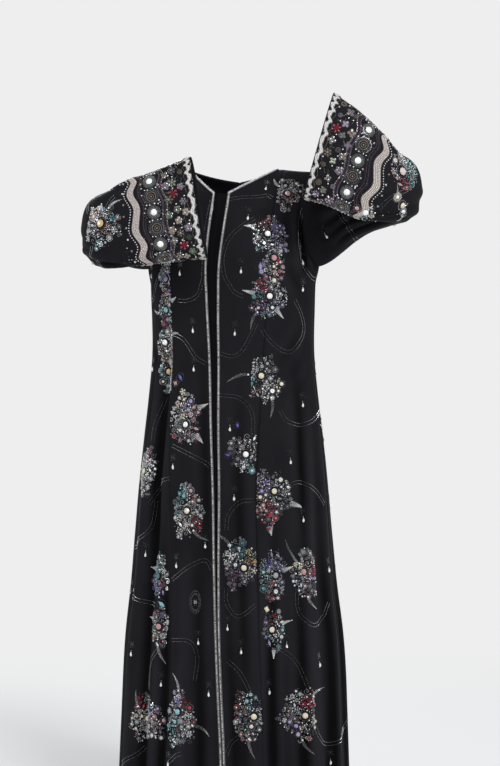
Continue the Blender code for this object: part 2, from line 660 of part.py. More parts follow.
# ---------------------------------------------------------------- the pieces
def body_place(side, angle, height):
    """Return the row and column of a body point given by angle from centre front and height."""
    angles = ring_angles(side, np.array([height]))[0]
    column = np.interp(abs(math.radians(angle)), angles, np.arange(len(angles)))
    row = (height - HEM_HEIGHT) / (CHEST_HEIGHT - HEM_HEIGHT) * SKIRT_ROWS
    return row, column


def cluster_pad(piece, row, column, half_width, half_height):
    """Return a cluster's pad, moved in where it would reach over the panel's side edges."""
    r = int(row)
    spacing = np.linalg.norm(np.diff(piece[r], axis=0), axis=1)
    margin = half_width / spacing.min() + PAD_CLEAR
    column = min(max(column, margin), piece.shape[1] - 1 - margin)
    return row, column, half_width, half_height, CLUSTER_RISE, CLUSTER_TOP, CLUSTER_SIDES


def cut_panel(surface, first, last):
    """Return a copy of a body surface between two columns, drawn back half a seam at each side."""
    grid, normals = surface
    piece = grid[:, first:last + 1].copy()
    for edge, nearby in ((0, 1), (-1, -2)):
        piece[:, edge] += unit(piece[:, nearby] - piece[:, edge]) * SEAM / 2
    return piece, normals[:, first:last + 1]


def draw_down(piece, columns):
    """Lower a panel's top row where it meets its neighbour."""
    piece[-1, columns] += unit(piece[-2, columns] - piece[-1, columns]) * ARMHOLE_DRAW


def build_fronts(halves):
    """Build the centre front and side front of each half."""
    centre_last = FRONT_CENTRE_COLUMNS
    side_last = centre_last + SHOULDER_COLUMNS + ARMHOLE_COLUMNS
    made = []
    for side, surface in halves.items():
        for part, first, last in (("centre", 0, centre_last), ("side", centre_last, side_last)):
            piece, normals = cut_panel(surface, first, last)
            shared = slice(FRONT_CENTRE_COLUMNS - 1, None) if part == "centre" else slice(None)
            draw_down(piece, shared)
            name = f"front_{part}_{side}"
            pads = []
            for angle, height, half_width, half_height in BODY_CLUSTERS:
                row, column = body_place(side, angle, height)
                if angle * SIDE_SIGN[side] > 0 and first < column < last:
                    pads.append(cluster_pad(piece, row, column - first, half_width, half_height))
            closed_wall(name, piece, piece - normals * WALL, pads=pads)
            made.append(name)
    return made


def build_back(halves):
    """Build the back as one panel, from the right side seam round to the left one."""
    first = FRONT_CENTRE_COLUMNS + SHOULDER_COLUMNS + ARMHOLE_COLUMNS
    right, right_normals = (part[:, first:] for part in halves["right"])
    left, left_normals = (part[:, first:] for part in halves["left"])
    grid = np.hstack([right, left[:, -2::-1]])
    normals = np.hstack([right_normals, left_normals[:, -2::-1]])
    piece, normals = cut_panel((grid, normals), 0, grid.shape[1] - 1)
    shared = np.arange(ARMHOLE_COLUMNS + SHOULDER_COLUMNS + 1)
    shared = np.concatenate([shared, grid.shape[1] - 1 - shared])
    draw_down(piece, shared)
    pads = []
    for angle, height, half_width, half_height in BODY_CLUSTERS:
        if abs(angle) > 90:
            side = "left" if angle > 0 else "right"
            row, column = body_place(side, angle, height)
            column -= first
            if side == "left":
                column = grid.shape[1] - 1 - column
            pads.append(cluster_pad(piece, row, column, half_width, half_height))
    return closed_wall("back", piece, piece - normals * WALL, pads=pads)


def build_sleeve(side, surface, length):
    """Build one sleeve with its raised medallions and stones."""
    grid, normals = surface
    piece = grid.copy()
    piece[0] += unit(piece[1] - piece[0]) * ARMHOLE_DRAW
    ring = SLEEVE_RINGS - MEDALLIONS_FROM_CUFF / length * SLEEVE_RINGS
    girth = run_lengths(grid[round(ring)], wrap=True)
    count = 2 * MEDALLIONS + 1
    pads = []
    for place in range(count):
        column = np.interp((place + 0.5) / count * girth[-1], girth, np.arange(len(girth)))
        if place % 2:
            pad = (MEDALLION_RADIUS, MEDALLION_RADIUS, MEDALLION_RISE, MEDALLION_TOP, MEDALLION_SIDES)
        else:
            pad = (STONE_RADIUS, STONE_RADIUS, STONE_RISE, STONE_TOP, STONE_SIDES)
        pads.append((ring, column, *pad))
    return closed_wall(f"sleeve_{side}", piece, piece - normals * WALL, wrap=True, pads=pads)


def sleeve_length(sections):
    """Return the length of a sleeve's middle line."""
    points = np.asarray(sections)[:, :3]
    return np.linalg.norm(np.diff(points, axis=0), axis=1).sum()


def join_armholes(halves, sleeves):
    """Give a sleeve's first ring and the body's armhole the same normals, so that their walls mitre."""
    first = FRONT_CENTRE_COLUMNS + SHOULDER_COLUMNS
    under = first + ARMHOLE_COLUMNS
    back_tip = under + ARMHOLE_COLUMNS
    loop = np.concatenate([np.arange(under, first - 1, -1), np.arange(back_tip - 1, under, -1)])
    for side in SIDE_SIGN:
        body_normals = halves[side][1]
        sleeve_normals = sleeves[side][1]
        corners = unit(body_normals[-1, loop] + sleeve_normals[0, ::2])
        body_normals[-1, loop] = corners
        body_normals[-1, back_tip] = corners[ARMHOLE_COLUMNS]
        sleeve_normals[0, ::2] = corners
        sleeve_normals[0, 1::2] = unit(corners + np.roll(corners, -1, axis=0))


def build_placket(halves):
    """Build the strip that closes the opening behind both front edges, with a shallow middle line."""
    rows = np.arange(SKIRT_ROWS + TORSO_ROWS + 1, dtype=float)
    rows[-1] -= PLACKET_SHORTER
    lines = []
    for side, order in (("right", (1, 0)), ("left", (0, 1))):
        surface = halves[side]
        step = np.linalg.norm(surface[0][:, 1] - surface[0][:, 0], axis=1).mean()
        for share in order:
            column = np.full(len(rows), share * PLACKET_UNDERLAP / step)
            lines.append(wall_point(surface, rows, column, np.full(len(rows), -PLACKET_DEPTH)))
    middle = (lines[1] + lines[2]) / 2
    middle[:, 1] += PLACKET_CREASE
    outer = np.stack([lines[0], lines[1], middle, lines[2], lines[3]], axis=1)
    normals = grid_normals(outer, wrap=False)
    normals *= -np.sign(normals[:, :, 1:2])
    return closed_wall("placket", outer, outer - normals * PLACKET_THICKNESS)


def inward_steps(surface, rows, columns, inside):
    """Return the rows and columns to add for one metre square to a run of places, into the cloth.

    The wanted way is the wall's normal crossed with the run, written in the grid's own two directions.
    """
    grid, normals = surface
    here = grid_point(grid, rows, columns)
    along = unit(np.gradient(here, axis=0))
    normal = unit(grid_point(normals, rows, columns))
    wanted = inside * unit(np.cross(normal, along))
    by_row = here - grid_point(grid, rows - 0.5, columns)
    nudge = np.where(columns > grid.shape[1] / 2, -0.5, 0.5)
    by_column = (grid_point(grid, rows, columns + nudge) - here) / (2 * nudge)[:, None]
    steps = []
    for way, row_way, column_way in zip(wanted, 2 * by_row, 2 * by_column):
        steps.append(np.linalg.lstsq(np.stack([row_way, column_way], axis=1), way, rcond=None)[0])
    return np.array(steps).T


def build_front_trim(side, halves):
    """Build the beaded trim of one side: up the front edge, round the neckline and to centre back."""
    surface = halves[side]
    last_row = float(surface[0].shape[0] - 1)
    last_column = float(surface[0].shape[1] - 1)
    up = np.arange(0.0, last_row + 1)
    neck_front = np.arange(0.5, FRONT_CENTRE_COLUMNS - 0.9, 0.5)
    neck_back = last_column - np.arange(BACK_NECK_COLUMNS, -0.1, -0.5)
    columns = np.concatenate([0 * up, neck_front, neck_back])
    rows = np.concatenate([up, 0 * neck_front + last_row, 0 * neck_back + last_row])
    row_step, column_step = inward_steps(surface, rows, columns, -SIDE_SIGN[side])
    row_step[0] = 0
    column_step[-1] = 0
    outer = []
    inner = []
    for inset in (TRIM_INSET, TRIM_INSET + TRIM_WIDTH):
        place = (rows + inset * row_step, columns + inset * column_step)
        lift = np.where(rows < last_row, LIFT, NECK_LIFT)
        for layer, rise in ((outer, TRIM_THICKNESS), (inner, 0)):
            line = wall_point(surface, *place, lift + rise)
            line[-1, 0] += SIDE_SIGN[side] * SEAM / 2
            layer.append(line)
    return closed_wall(f"front_trim_{side}", np.stack(outer, axis=1), np.stack(inner, axis=1))


def round_trim(name, surface, from_cuff, width, wave, waves, samples, length):
    """Build a wavy closed trim round a sleeve, its middle at a distance from the cuff."""
    count = waves * samples
    turn = np.arange(count) / count
    columns = turn * SLEEVE_COLUMNS
    per_row = length / SLEEVE_RINGS
    middle = SLEEVE_RINGS - (from_cuff + wave * np.sin(2 * math.pi * waves * turn)) / per_row
    half = width / 2 / per_row
    outer = []
    inner = []
    for place in (-half, 0, half):
        for layer, lift in ((outer, ROUND_LIFT + TRIM_THICKNESS), (inner, ROUND_LIFT)):
            layer.append(wall_point(surface, middle + place, columns, np.full(count, lift), wrap=True))
    return closed_wall(name, np.stack(outer), np.stack(inner), wrap=True)


def give_material(names, material_name):
    """Give objects one plain material."""
    red, green, blue, roughness, metallic = MATERIALS[material_name]
    for name in names:
        material = bpy.data.materials.new(f"{material_name}_{name}")
        material.use_nodes = True
        shader = material.node_tree.nodes["Principled BSDF"]
        shader.inputs["Base Color"].default_value = (red, green, blue, 1)
        shader.inputs["Roughness"].default_value = roughness
        shader.inputs["Metallic"].default_value = metallic
        bpy.data.objects[name].data.materials.append(material)


def main():
    """Build every piece of the cloak."""
    for item in list(bpy.data.objects):
        bpy.data.objects.remove(item, do_unlink=True)
    collection = bpy.data.collections.new(COLLECTION)
    bpy.context.scene.collection.children.link(collection)
    halves = body_surface()
    sections = {"left": LEFT_SLEEVE, "right": RIGHT_SLEEVE}
    folds = {"left": LEFT_SLEEVE_FOLDS, "right": RIGHT_SLEEVE_FOLDS}
    sleeves = {side: sleeve_surface(side, sections[side], folds[side]) for side in SIDE_SIGN}
    join_armholes(halves, sleeves)
    cloth = build_fronts(halves)
    cloth.append(build_back(halves).name)
    cloth.append(build_placket(halves).name)
    trims = [build_front_trim(side, halves).name for side in SIDE_SIGN]
    laces = []
    tapes = []
    for side, surface in sleeves.items():
        length = sleeve_length(sections[side])
        cloth.append(build_sleeve(side, surface, length).name)
        laces.append(round_trim(f"cuff_lace_{side}", surface, LACE_WIDTH / 2 + LACE_WAVE, LACE_WIDTH,
                                LACE_WAVE, LACE_SCALLOPS, LACE_SAMPLES, length).name)
        tapes.append(round_trim(f"sleeve_tape_{side}", surface, TAPE_FROM_CUFF, TAPE_WIDTH,
                                TAPE_WAVE, TAPE_WAVES, TAPE_SAMPLES, length).name)
    give_material(cloth, "black_crepe")
    give_material(trims, "beaded_trim")
    give_material(laces, "white_lace")
    give_material(tapes, "rose_tape")


main()
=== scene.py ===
"""Looks of a black abaya cloak: crepe panels, bead embroidery, beaded front trims, cuff lace and tape.

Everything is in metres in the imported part's own frame: the front faces -Y, +X is the wearer's left.
A place on the cloth is a surface (body_left, body_right, sleeve_left, sleeve_right), a column and a
row.  Body columns run from the front opening (0) past the princess seam (6), the shoulder tip (9), the
side seam (15) and the back shoulder tip (21) to centre back (30), and rows from the hem (0) past the
chest (18) to the top edge (27).  Sleeve columns run once round in 24 steps from under the arm, and rows
from the armhole (0) to the cuff (21).
"""

import json
import math

import bpy
import numpy as np
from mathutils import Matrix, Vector

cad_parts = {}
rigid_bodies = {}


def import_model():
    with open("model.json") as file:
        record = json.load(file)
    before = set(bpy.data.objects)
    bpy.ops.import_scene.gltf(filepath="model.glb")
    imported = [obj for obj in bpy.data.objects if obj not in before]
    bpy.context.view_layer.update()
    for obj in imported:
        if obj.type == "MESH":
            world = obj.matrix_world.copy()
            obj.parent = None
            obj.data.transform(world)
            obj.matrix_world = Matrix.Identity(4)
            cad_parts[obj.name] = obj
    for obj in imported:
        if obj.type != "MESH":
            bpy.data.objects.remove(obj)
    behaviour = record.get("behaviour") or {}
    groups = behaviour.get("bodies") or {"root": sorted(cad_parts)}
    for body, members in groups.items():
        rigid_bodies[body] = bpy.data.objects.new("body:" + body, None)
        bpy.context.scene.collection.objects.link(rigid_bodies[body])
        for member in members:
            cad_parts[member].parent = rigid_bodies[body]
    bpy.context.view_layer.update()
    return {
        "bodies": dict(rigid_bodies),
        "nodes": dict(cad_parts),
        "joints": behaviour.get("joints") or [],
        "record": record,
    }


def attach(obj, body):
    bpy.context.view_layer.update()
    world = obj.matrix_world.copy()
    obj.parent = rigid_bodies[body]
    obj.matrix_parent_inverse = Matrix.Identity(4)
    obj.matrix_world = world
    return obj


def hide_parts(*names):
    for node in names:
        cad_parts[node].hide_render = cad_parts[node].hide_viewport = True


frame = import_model()

# ---- the cloth's own sizes
FINE = 5                # cells of the fine cloth for one column or row
CLOTH = 0.0008          # thickness of the crepe
PAINTED_FOLD_SHADE = 210.0     # painted fold shade: how much a metre of fold depth darkens the crepe in troughs and pales it on ridges
PAINTED_SHADE_RANGE = 0.22, 1.8  # the darkest painted shade and the palest painted highlight that it gives
DIP = 0.0011            # how far a panel's sewn edge sinks into its seam
DIP_REACH = 0.0035      # how far from the edge that sinking reaches
SEAM = 0.0003           # gap between two panels at their seam
HEM_HEIGHT = -1.41
CHEST_HEIGHT = -0.25
CHEST_STEP = 0.02
UNDERARM = np.array((0.197, 0.0, -0.207))
SHOULDER_TIP = np.array((0.187, 0.010, 0.002))
NECK_SHOULDER = np.array((0.096, 0.010, 0.010))
SEAM_AT = np.array((0.118, 0.010, 0.010))
ARMHOLE_FRONT = 0.062
ARMHOLE_INSET = 0.020
SPREAD = 0.68
TIP = math.radians(54)
BACK_TIP = math.radians(132)
FOLD_RADIUS = 0.20
NECK_FRONT = (-0.094, -0.046)
NECK_FRONT_MIDDLE = (0.050, -0.060, -0.024)
NECK_BACK = (0.0, 0.055, -0.012)
NECK_BACK_MIDDLE = (0.060, 0.048, -0.004)
SLEEVE_POWER = 2.3
SLEEVE_RADIUS = 0.085
CAP_LENGTH = 0.09
CAP_PLAIN = 0.03
SIGN = {"left": 1, "right": -1}
# Rows of the skirt, from there to the body's top edge, and of a sleeve; columns round a sleeve.
SKIRT_ROWS, TORSO_ROWS, SLEEVE_ROWS, ROUND = 18, 9, 21, 24
TOP_ROW = SKIRT_ROWS + TORSO_ROWS
# Body columns: the neck's side, the princess seam, the shoulder tip, the side seam, the shoulder tip and
# the neck's side at the back, and centre back.
NECK, PRINCESS, SHOULDER, SIDE, BACK_SHOULDER, BACK_NECK, CENTRE_BACK = 5, 6, 9, 15, 21, 24, 30

# Body rings.  Columns: height, half width, depth of the front, depth of the back.
BODY_RINGS = (
    (-1.410, 0.258, 0.190, 0.172),
    (-1.220, 0.252, 0.182, 0.166),
    (-1.010, 0.242, 0.172, 0.160),
    (-0.905, 0.230, 0.165, 0.155),
    (-0.800, 0.222, 0.158, 0.150),
    (-0.690, 0.214, 0.150, 0.145),
    (-0.585, 0.203, 0.140, 0.135),
    (-0.490, 0.192, 0.128, 0.122),
    (-0.400, 0.184, 0.122, 0.112),
    (-0.290, 0.185, 0.131, 0.113),
    (-0.200, 0.188, 0.137, 0.116),
)

# Cut lines of the front.  Columns: height, middle of the opening, half its width, princess seams of
# the left and the right front.
FRONT_LINES = (
    (-1.410, 0.0300, 0.0006, 0.114, -0.108),
    (-1.260, 0.0270, 0.0006, 0.110, -0.104),
    (-1.140, 0.0200, 0.0006, 0.106, -0.100),
    (-1.010, 0.0130, 0.0008, 0.100, -0.096),
    (-0.840, 0.0071, 0.0022, 0.094, -0.100),
    (-0.710, 0.0042, 0.0037, 0.089, -0.108),
    (-0.500, -0.0060, 0.0060, 0.093, -0.112),
    (-0.350, -0.0100, 0.0083, 0.100, -0.112),
    (-0.260, -0.0100, 0.0105, 0.108, -0.112),
    (-0.160, -0.0110, 0.0127, 0.116, -0.114),
    (-0.098, -0.0041, 0.0083, 0.118, -0.116),
    (-0.050, 0.0000, 0.0140, 0.118, -0.118),
)

# Hanging folds.  Columns: angle from centre front in degrees, height of the top, height of full depth,
# reach to each side, depth (+ is a ridge, - a trough).
BODY_FOLDS = (
    (-42, -0.22, -0.45, 0.016, -0.0100), (-55, -0.26, -0.70, 0.022, 0.0070),
    (-30, -0.62, -1.15, 0.020, -0.0070), (-15, -0.80, -1.35, 0.030, 0.0060),
    (-3, -0.66, -1.30, 0.013, -0.0050), (22, -0.60, -1.20, 0.030, 0.0050),
    (39, -0.30, -1.10, 0.017, -0.0100), (52, -0.80, -1.30, 0.024, 0.0080),
    (66, -0.50, -0.95, 0.018, -0.0080), (74, -0.78, -1.30, 0.022, 0.0070),
    (-72, -0.42, -1.05, 0.022, -0.0080), (-88, -0.50, -1.20, 0.026, 0.0080),
    (91, -0.44, -1.10, 0.024, -0.0070), (106, -0.40, -1.15, 0.026, 0.0080),
    (124, -0.34, -0.95, 0.020, -0.0110), (143, -0.48, -1.20, 0.028, 0.0090),
    (161, -0.30, -0.80, 0.020, -0.0090), (178, -0.52, -1.25, 0.032, 0.0090),
    (-164, -0.33, -1.00, 0.021, -0.0110), (-146, -0.55, -1.10, 0.028, 0.0080),
    (-127, -0.36, -0.90, 0.020, -0.0100), (-108, -0.46, -1.25, 0.026, 0.0080),
)

# Leans of the cloth at the top edge.  Columns: column, lean outward, lean backward.
LEANS = np.array(((0, 0.0, 0.45), (5, 0.0, 2.0), (9, 1.2, 1.3), (10, 0.5, 0.4), (11, 0.2, 0.1),
                  (15, 0.0, 0.0), (19, 0.2, 0.0), (20, 0.5, -0.3), (21, 1.2, -1.3), (24, 0.0, -2.0),
                  (30, 0.0, -0.6)))

# Sleeve sections, armhole to cuff.  Columns: middle x, y, z, half height, half depth, lean in degrees.
SECTIONS = {
    "left": (
        (0.188, 0.005, -0.1025, 0.1045, 0.062, 0),
        (0.238, 0.012, -0.0840, 0.0900, 0.062, 0),
        (0.292, 0.001, -0.0670, 0.0745, 0.058, 0),
        (0.350, -0.020, -0.0560, 0.0665, 0.052, 0),
        (0.392, -0.070, -0.0500, 0.0680, 0.045, 8),
        (0.376, -0.118, -0.0470, 0.0780, 0.042, 17),
        (0.343, -0.151, -0.0280, 0.0920, 0.038, 19),
        (0.292, -0.170, 0.0080, 0.1030, 0.034, 19),
        (0.237, -0.180, 0.0380, 0.1150, 0.030, 16),
    ),
    "right": (
        (-0.188, 0.005, -0.1025, 0.1045, 0.062, 0),
        (-0.228, -0.018, -0.1040, 0.0940, 0.058, 0),
        (-0.252, -0.066, -0.1150, 0.0840, 0.053, 0),
        (-0.257, -0.125, -0.1260, 0.0790, 0.048, 0),
        (-0.243, -0.180, -0.1330, 0.0770, 0.045, 3),
        (-0.214, -0.222, -0.1360, 0.0810, 0.042, 8),
        (-0.165, -0.242, -0.1250, 0.0900, 0.038, 10),
        (-0.092, -0.243, -0.1110, 0.0970, 0.034, 11),
        (-0.010, -0.233, -0.0910, 0.1080, 0.030, 9),
    ),
}

# Sleeve folds.  Columns: distance from the armhole and turn round the sleeve in degrees at one end, the
# same at the other, reach, depth.
SLEEVE_FOLDS = {
    "left": (
        (0.035, 40, 0.030, 150, 0.010, -0.0050),
        (0.060, 200, 0.045, 320, 0.011, -0.0040),
        (0.245, 300, 0.300, 330, 0.012, -0.0060),
        (0.255, 275, 0.330, 285, 0.010, 0.0040),
        (0.200, 20, 0.235, 80, 0.011, -0.0060),
    ),
    "right": (
        (0.040, 210, 0.055, 320, 0.011, -0.0050),
        (0.150, 60, 0.170, 120, 0.012, -0.0060),
        (0.230, 320, 0.290, 345, 0.013, -0.0060),
        (0.215, 300, 0.275, 275, 0.011, 0.0035),
        (0.200, 20, 0.225, 80, 0.011, -0.0060),
    ),
}

# Soft creases pressed into the fine cloth.  Columns: column and row at one end, at the other, reach,
# depth in metres (+ is a ridge).
CREASES = {
    "body_left": (
        (7.3, 10.4, 6.7, 0, 0.011, -0.0060), (8.9, 9.4, 8.5, 0, 0.012, -0.0055),
        (10.6, 8.6, 10.4, 0, 0.015, 0.0040), (13.2, 9.8, 12.5, 0, 0.014, -0.0065),
        (3.2, 14.6, 4.3, 4.0, 0.013, -0.0032), (3.3, 7.0, 3.2, 0, 0.013, -0.0038),
        (1.3, 12.0, 1.5, 0, 0.010, -0.0034), (10.4, 15.4, 9.5, 9.2, 0.012, -0.0034),
        (11.6, 13.6, 11.4, 6.0, 0.012, 0.0026), (16.2, 12.4, 15.8, 0, 0.014, -0.0060),
        (18.3, 10.6, 18.6, 0, 0.013, -0.0058), (20.6, 13.8, 20.9, 0, 0.014, -0.0062),
        (23.4, 11.4, 23.2, 0, 0.013, -0.0056), (26.4, 13.0, 26.8, 0, 0.014, -0.0060),
        (29.0, 10.0, 28.8, 0, 0.014, -0.0050), (22.2, 19.6, 22.6, 12.4, 0.013, -0.0034),
        (27.6, 22.4, 27.9, 14.0, 0.014, -0.0030), (10.6, 25.6, 12.5, 22.8, 0.009, -0.0048),
        (11.8, 25.8, 13.4, 21.6, 0.008, -0.0052), (13.2, 25.4, 12.2, 19.5, 0.010, -0.0044),
        (9.6, 25.2, 9.8, 21.0, 0.012, 0.0020), (8.2, 19.6, 12.6, 17.4, 0.012, -0.0018),
        (12.4, 16.6, 7.4, 15.2, 0.010, -0.0016), (13.0, 15.4, 8.6, 14.6, 0.009, 0.0012),
        (17.0, 25.2, 18.4, 20.4, 0.010, -0.0034), (18.8, 25.4, 20.2, 21.8, 0.011, -0.0028),
        (20.4, 26.0, 23.0, 22.6, 0.012, 0.0022), (17.2, 17.2, 24.0, 15.8, 0.012, -0.0020),
        (19.0, 15.6, 26.4, 16.6, 0.010, -0.0016), (3.4, 23.4, 6.8, 21.8, 0.014, -0.0012),
    ),
    "body_right": (
        (6.9, 10.8, 6.5, 0, 0.011, -0.0062), (7.5, 15.8, 7.3, 7.4, 0.013, -0.0052),
        (8.4, 13.2, 8.1, 0, 0.014, -0.0042), (4.2, 9.4, 4.1, 0, 0.014, 0.0034),
        (2.6, 10.6, 2.4, 0, 0.011, -0.0036), (9.8, 8.8, 9.6, 0, 0.013, 0.0036),
        (11.6, 7.6, 11.2, 0, 0.014, -0.0060), (10.4, 16.4, 10.2, 10.4, 0.012, -0.0034),
        (1.2, 16.0, 1.4, 7.0, 0.012, -0.0026), (15.4, 11.6, 15.0, 0, 0.014, -0.0058),
        (17.6, 12.8, 17.9, 0, 0.013, -0.0060), (20.2, 10.2, 20.4, 0, 0.014, -0.0056),
        (22.9, 12.6, 22.6, 0, 0.013, -0.0060), (25.6, 10.8, 25.9, 0, 0.014, -0.0056),
        (28.2, 13.4, 28.0, 0, 0.014, -0.0058), (23.6, 20.2, 23.2, 12.8, 0.013, -0.0032),
        (28.8, 21.6, 28.4, 14.6, 0.014, -0.0032), (10.4, 25.5, 12.9, 22.0, 0.009, -0.0050),
        (12.0, 25.9, 13.8, 22.6, 0.008, -0.0048), (13.6, 24.6, 12.6, 19.0, 0.010, -0.0044),
        (9.2, 24.8, 10.4, 20.2, 0.012, 0.0018), (7.6, 19.0, 12.8, 17.0, 0.012, -0.0020),
        (12.8, 16.2, 7.8, 14.8, 0.010, -0.0018), (16.4, 25.0, 17.8, 19.8, 0.010, -0.0032),
        (18.4, 25.6, 20.6, 22.2, 0.011, -0.0026), (20.0, 26.2, 22.8, 23.2, 0.012, 0.0024),
        (16.8, 16.6, 23.4, 15.4, 0.012, -0.0018), (18.6, 15.2, 25.8, 16.0, 0.010, -0.0018),
        (3.0, 22.8, 6.2, 21.4, 0.014, -0.0010),
    ),
    "sleeve_left": (
        (2.2, 2.4, 1.4, 9.6, 0.008, -0.0052), (3.6, 1.6, 3.4, 8.8, 0.008, -0.0058),
        (4.8, 1.2, 5.4, 6.4, 0.008, -0.0048), (6.4, 1.0, 6.2, 5.6, 0.008, -0.0042),
        (5.6, 9.8, 4.6, 14.6, 0.008, -0.0052), (6.8, 9.6, 7.2, 14.0, 0.007, -0.0032),
        (3.8, 10.2, 2.6, 14.2, 0.007, -0.0030), (8.2, 9.0, 9.4, 12.6, 0.008, -0.0026),
        (1.6, 10.4, 0.4, 13.6, 0.008, -0.0026), (17.2, 8.6, 20.4, 12.2, 0.010, -0.0030),
        (15.0, 7.4, 18.6, 9.6, 0.010, 0.0024), (21.6, 9.0, 22.8, 13.0, 0.009, -0.0028),
        (13.2, 3.0, 15.4, 6.2, 0.010, -0.0024), (18.4, 2.2, 19.8, 5.8, 0.010, -0.0026),
        (22.4, 2.4, 23.2, 6.6, 0.009, -0.0028), (12.4, 12.4, 14.2, 15.6, 0.009, -0.0018),
    ),
    "sleeve_right": (
        (5.4, 7.4, 4.4, 12.4, 0.008, -0.0052), (6.8, 7.0, 7.4, 11.8, 0.007, -0.0034),
        (4.0, 8.4, 2.4, 12.2, 0.007, -0.0030), (8.4, 7.2, 9.8, 10.8, 0.008, -0.0028),
        (3.4, 2.2, 3.6, 6.4, 0.008, -0.0034), (5.6, 1.8, 6.0, 5.4, 0.008, -0.0028),
        (1.8, 8.0, 0.6, 12.0, 0.008, -0.0028), (17.6, 7.0, 20.2, 11.4, 0.010, -0.0030),
        (15.4, 6.0, 19.0, 8.0, 0.010, 0.0022), (21.4, 7.8, 22.6, 12.6, 0.009, -0.0030),
        (13.0, 2.4, 15.8, 5.6, 0.010, -0.0024), (18.8, 1.8, 20.6, 5.2, 0.010, -0.0024),
        (22.6, 9.6, 23.4, 14.4, 0.009, -0.0024), (12.2, 11.0, 14.0, 14.8, 0.009, -0.0020),
    ),
}


# ---- small helpers
def smooth_step(values):
    """Return 0 below 0, 1 above 1 and 3v^2 - 2v^3 between."""
    clipped = np.clip(values, 0.0, 1.0)
    return clipped * clipped * (3.0 - 2.0 * clipped)


def hermite(t, span, start, start_slope, end, end_slope):
    """Return the cubic between two points of given slopes, at shares t of its span."""
    return ((2 * t ** 3 - 3 * t ** 2 + 1) * start + (t ** 3 - 2 * t ** 2 + t) * span * start_slope
            + (3 * t ** 2 - 2 * t ** 3) * end + (t ** 3 - t ** 2) * span * end_slope)


def smooth_rows(stations, columns, wanted):
    """Interpolate table columns with Hermite cubics through the rows, slopes by central differences."""
    stations = np.asarray(stations, float)
    columns = np.asarray(columns, float)
    slopes = np.gradient(columns, stations, axis=0)
    wanted = np.clip(np.atleast_1d(wanted), stations[0], stations[-1])
    row = np.clip(np.searchsorted(stations, wanted) - 1, 0, len(stations) - 2)
    span = stations[row + 1] - stations[row]
    t = ((wanted - stations[row]) / span)[:, None]
    return hermite(t, span[:, None], columns[row], slopes[row], columns[row + 1], slopes[row + 1])


def table_at(table, heights):
    """Read a table whose first column is a height."""
    table = np.asarray(table)
    return smooth_rows(table[:, 0], table[:, 1:], heights)


def unit(vectors):
    """Scale vectors to length one."""
    return vectors / np.maximum(np.linalg.norm(vectors, axis=-1, keepdims=True), 1e-12)


def lengths_along(points):
    """Return a line's length from its first point to each of its points."""
    return np.concatenate([[0], np.cumsum(np.linalg.norm(np.diff(points, axis=0), axis=1))])


def grid_normals(grid, wrap):
    """Return a grid's normals: the cross product of its row and column differences."""
    down = np.gradient(grid, axis=0)
    across = (np.roll(grid, -1, axis=1) - np.roll(grid, 1, axis=1)) if wrap else np.gradient(grid, axis=1)
    return unit(np.cross(across, down))


# ---- the cloth's surfaces
def ring_angles(side, heights, column):
    """Return angles from centre front: even in sine from the opening to the princess seam, even in angle
    to the shoulder tip's line, spaced by a power on both sides of the side seam, even to centre back."""
    width = table_at(BODY_RINGS, heights)[:, 0]
    lines = table_at(FRONT_LINES, heights)
    seam_x = (lines[:, 2] if side == "left" else -lines[:, 3]) / width
    edge_x = (SIGN[side] * lines[:, 0] + lines[:, 1]) / width
    seam_x, edge_x = seam_x[:, None], edge_x[:, None]
    seam = np.arcsin(seam_x)
    quarter = math.pi / 2
    front = np.arcsin(edge_x + (seam_x - edge_x) * np.clip(column / PRINCESS, 0, 1))
    shoulder = seam + (TIP - seam) * (column - PRINCESS) / (SHOULDER - PRINCESS)
    spread = (np.abs(column - SIDE) / (SIDE - SHOULDER)) ** SPREAD
    under = quarter - (quarter - TIP) * spread
    behind = quarter + (BACK_TIP - quarter) * spread
    back = BACK_TIP + (math.pi - BACK_TIP) * (column - BACK_SHOULDER) / (CENTRE_BACK - BACK_SHOULDER)
    return np.select([column <= PRINCESS, column <= SHOULDER, column <= SIDE, column <= BACK_SHOULDER],
                     [front, shoulder, under + 0 * seam, behind + 0 * seam], back + 0 * seam)


def ring_points(side, angles, heights, fold=True):
    """Place angles on half ellipses, pushed out by bells across that grow from their tops down, and
    return the points and the pushes."""
    rings = table_at(BODY_RINGS, heights)
    width = rings[:, 0:1]
    depth = np.where(np.cos(angles) > 0, rings[:, 1:2], rings[:, 2:3])
    x = width * np.sin(angles)
    y = -depth * np.cos(angles)
    z = np.asarray(heights)[:, None] + 0 * angles
    push = np.zeros_like(angles)
    if fold:
        out = unit(np.stack([x / width ** 2, y / depth ** 2], axis=-1))
        for middle, top, full, reach, height in BODY_FOLDS:
            away = (SIGN[side] * angles - math.radians(middle) + math.pi) % (2 * math.pi) - math.pi
            grown = smooth_step((top - z) / (top - full))
            push += height * np.exp(-(away * FOLD_RADIUS / reach) ** 2) * grown
        x = x + out[..., 0] * push
        y = y + out[..., 1] * push
    return np.stack([SIGN[side] * x, y, z], axis=-1), push


def armhole(turn, facing):
    """Return left armhole points: a line from underarm to shoulder tip by (1 - cos)/2, bowed by sines."""
    share = ((1 - np.cos(turn)) / 2)[:, None]
    line = UNDERARM * (1 - share) + SHOULDER_TIP * share
    line[:, 0] -= ARMHOLE_INSET * np.sin(turn)
    line[:, 1] += facing * ARMHOLE_FRONT * np.sin(turn)
    return line


def bezier(start, middle, end, t):
    """Return a quadratic curve through three control points at shares t."""
    t = t[:, None]
    return (1 - t) ** 2 * np.array(start) + 2 * t * (1 - t) * np.array(middle) + t ** 2 * np.array(end)


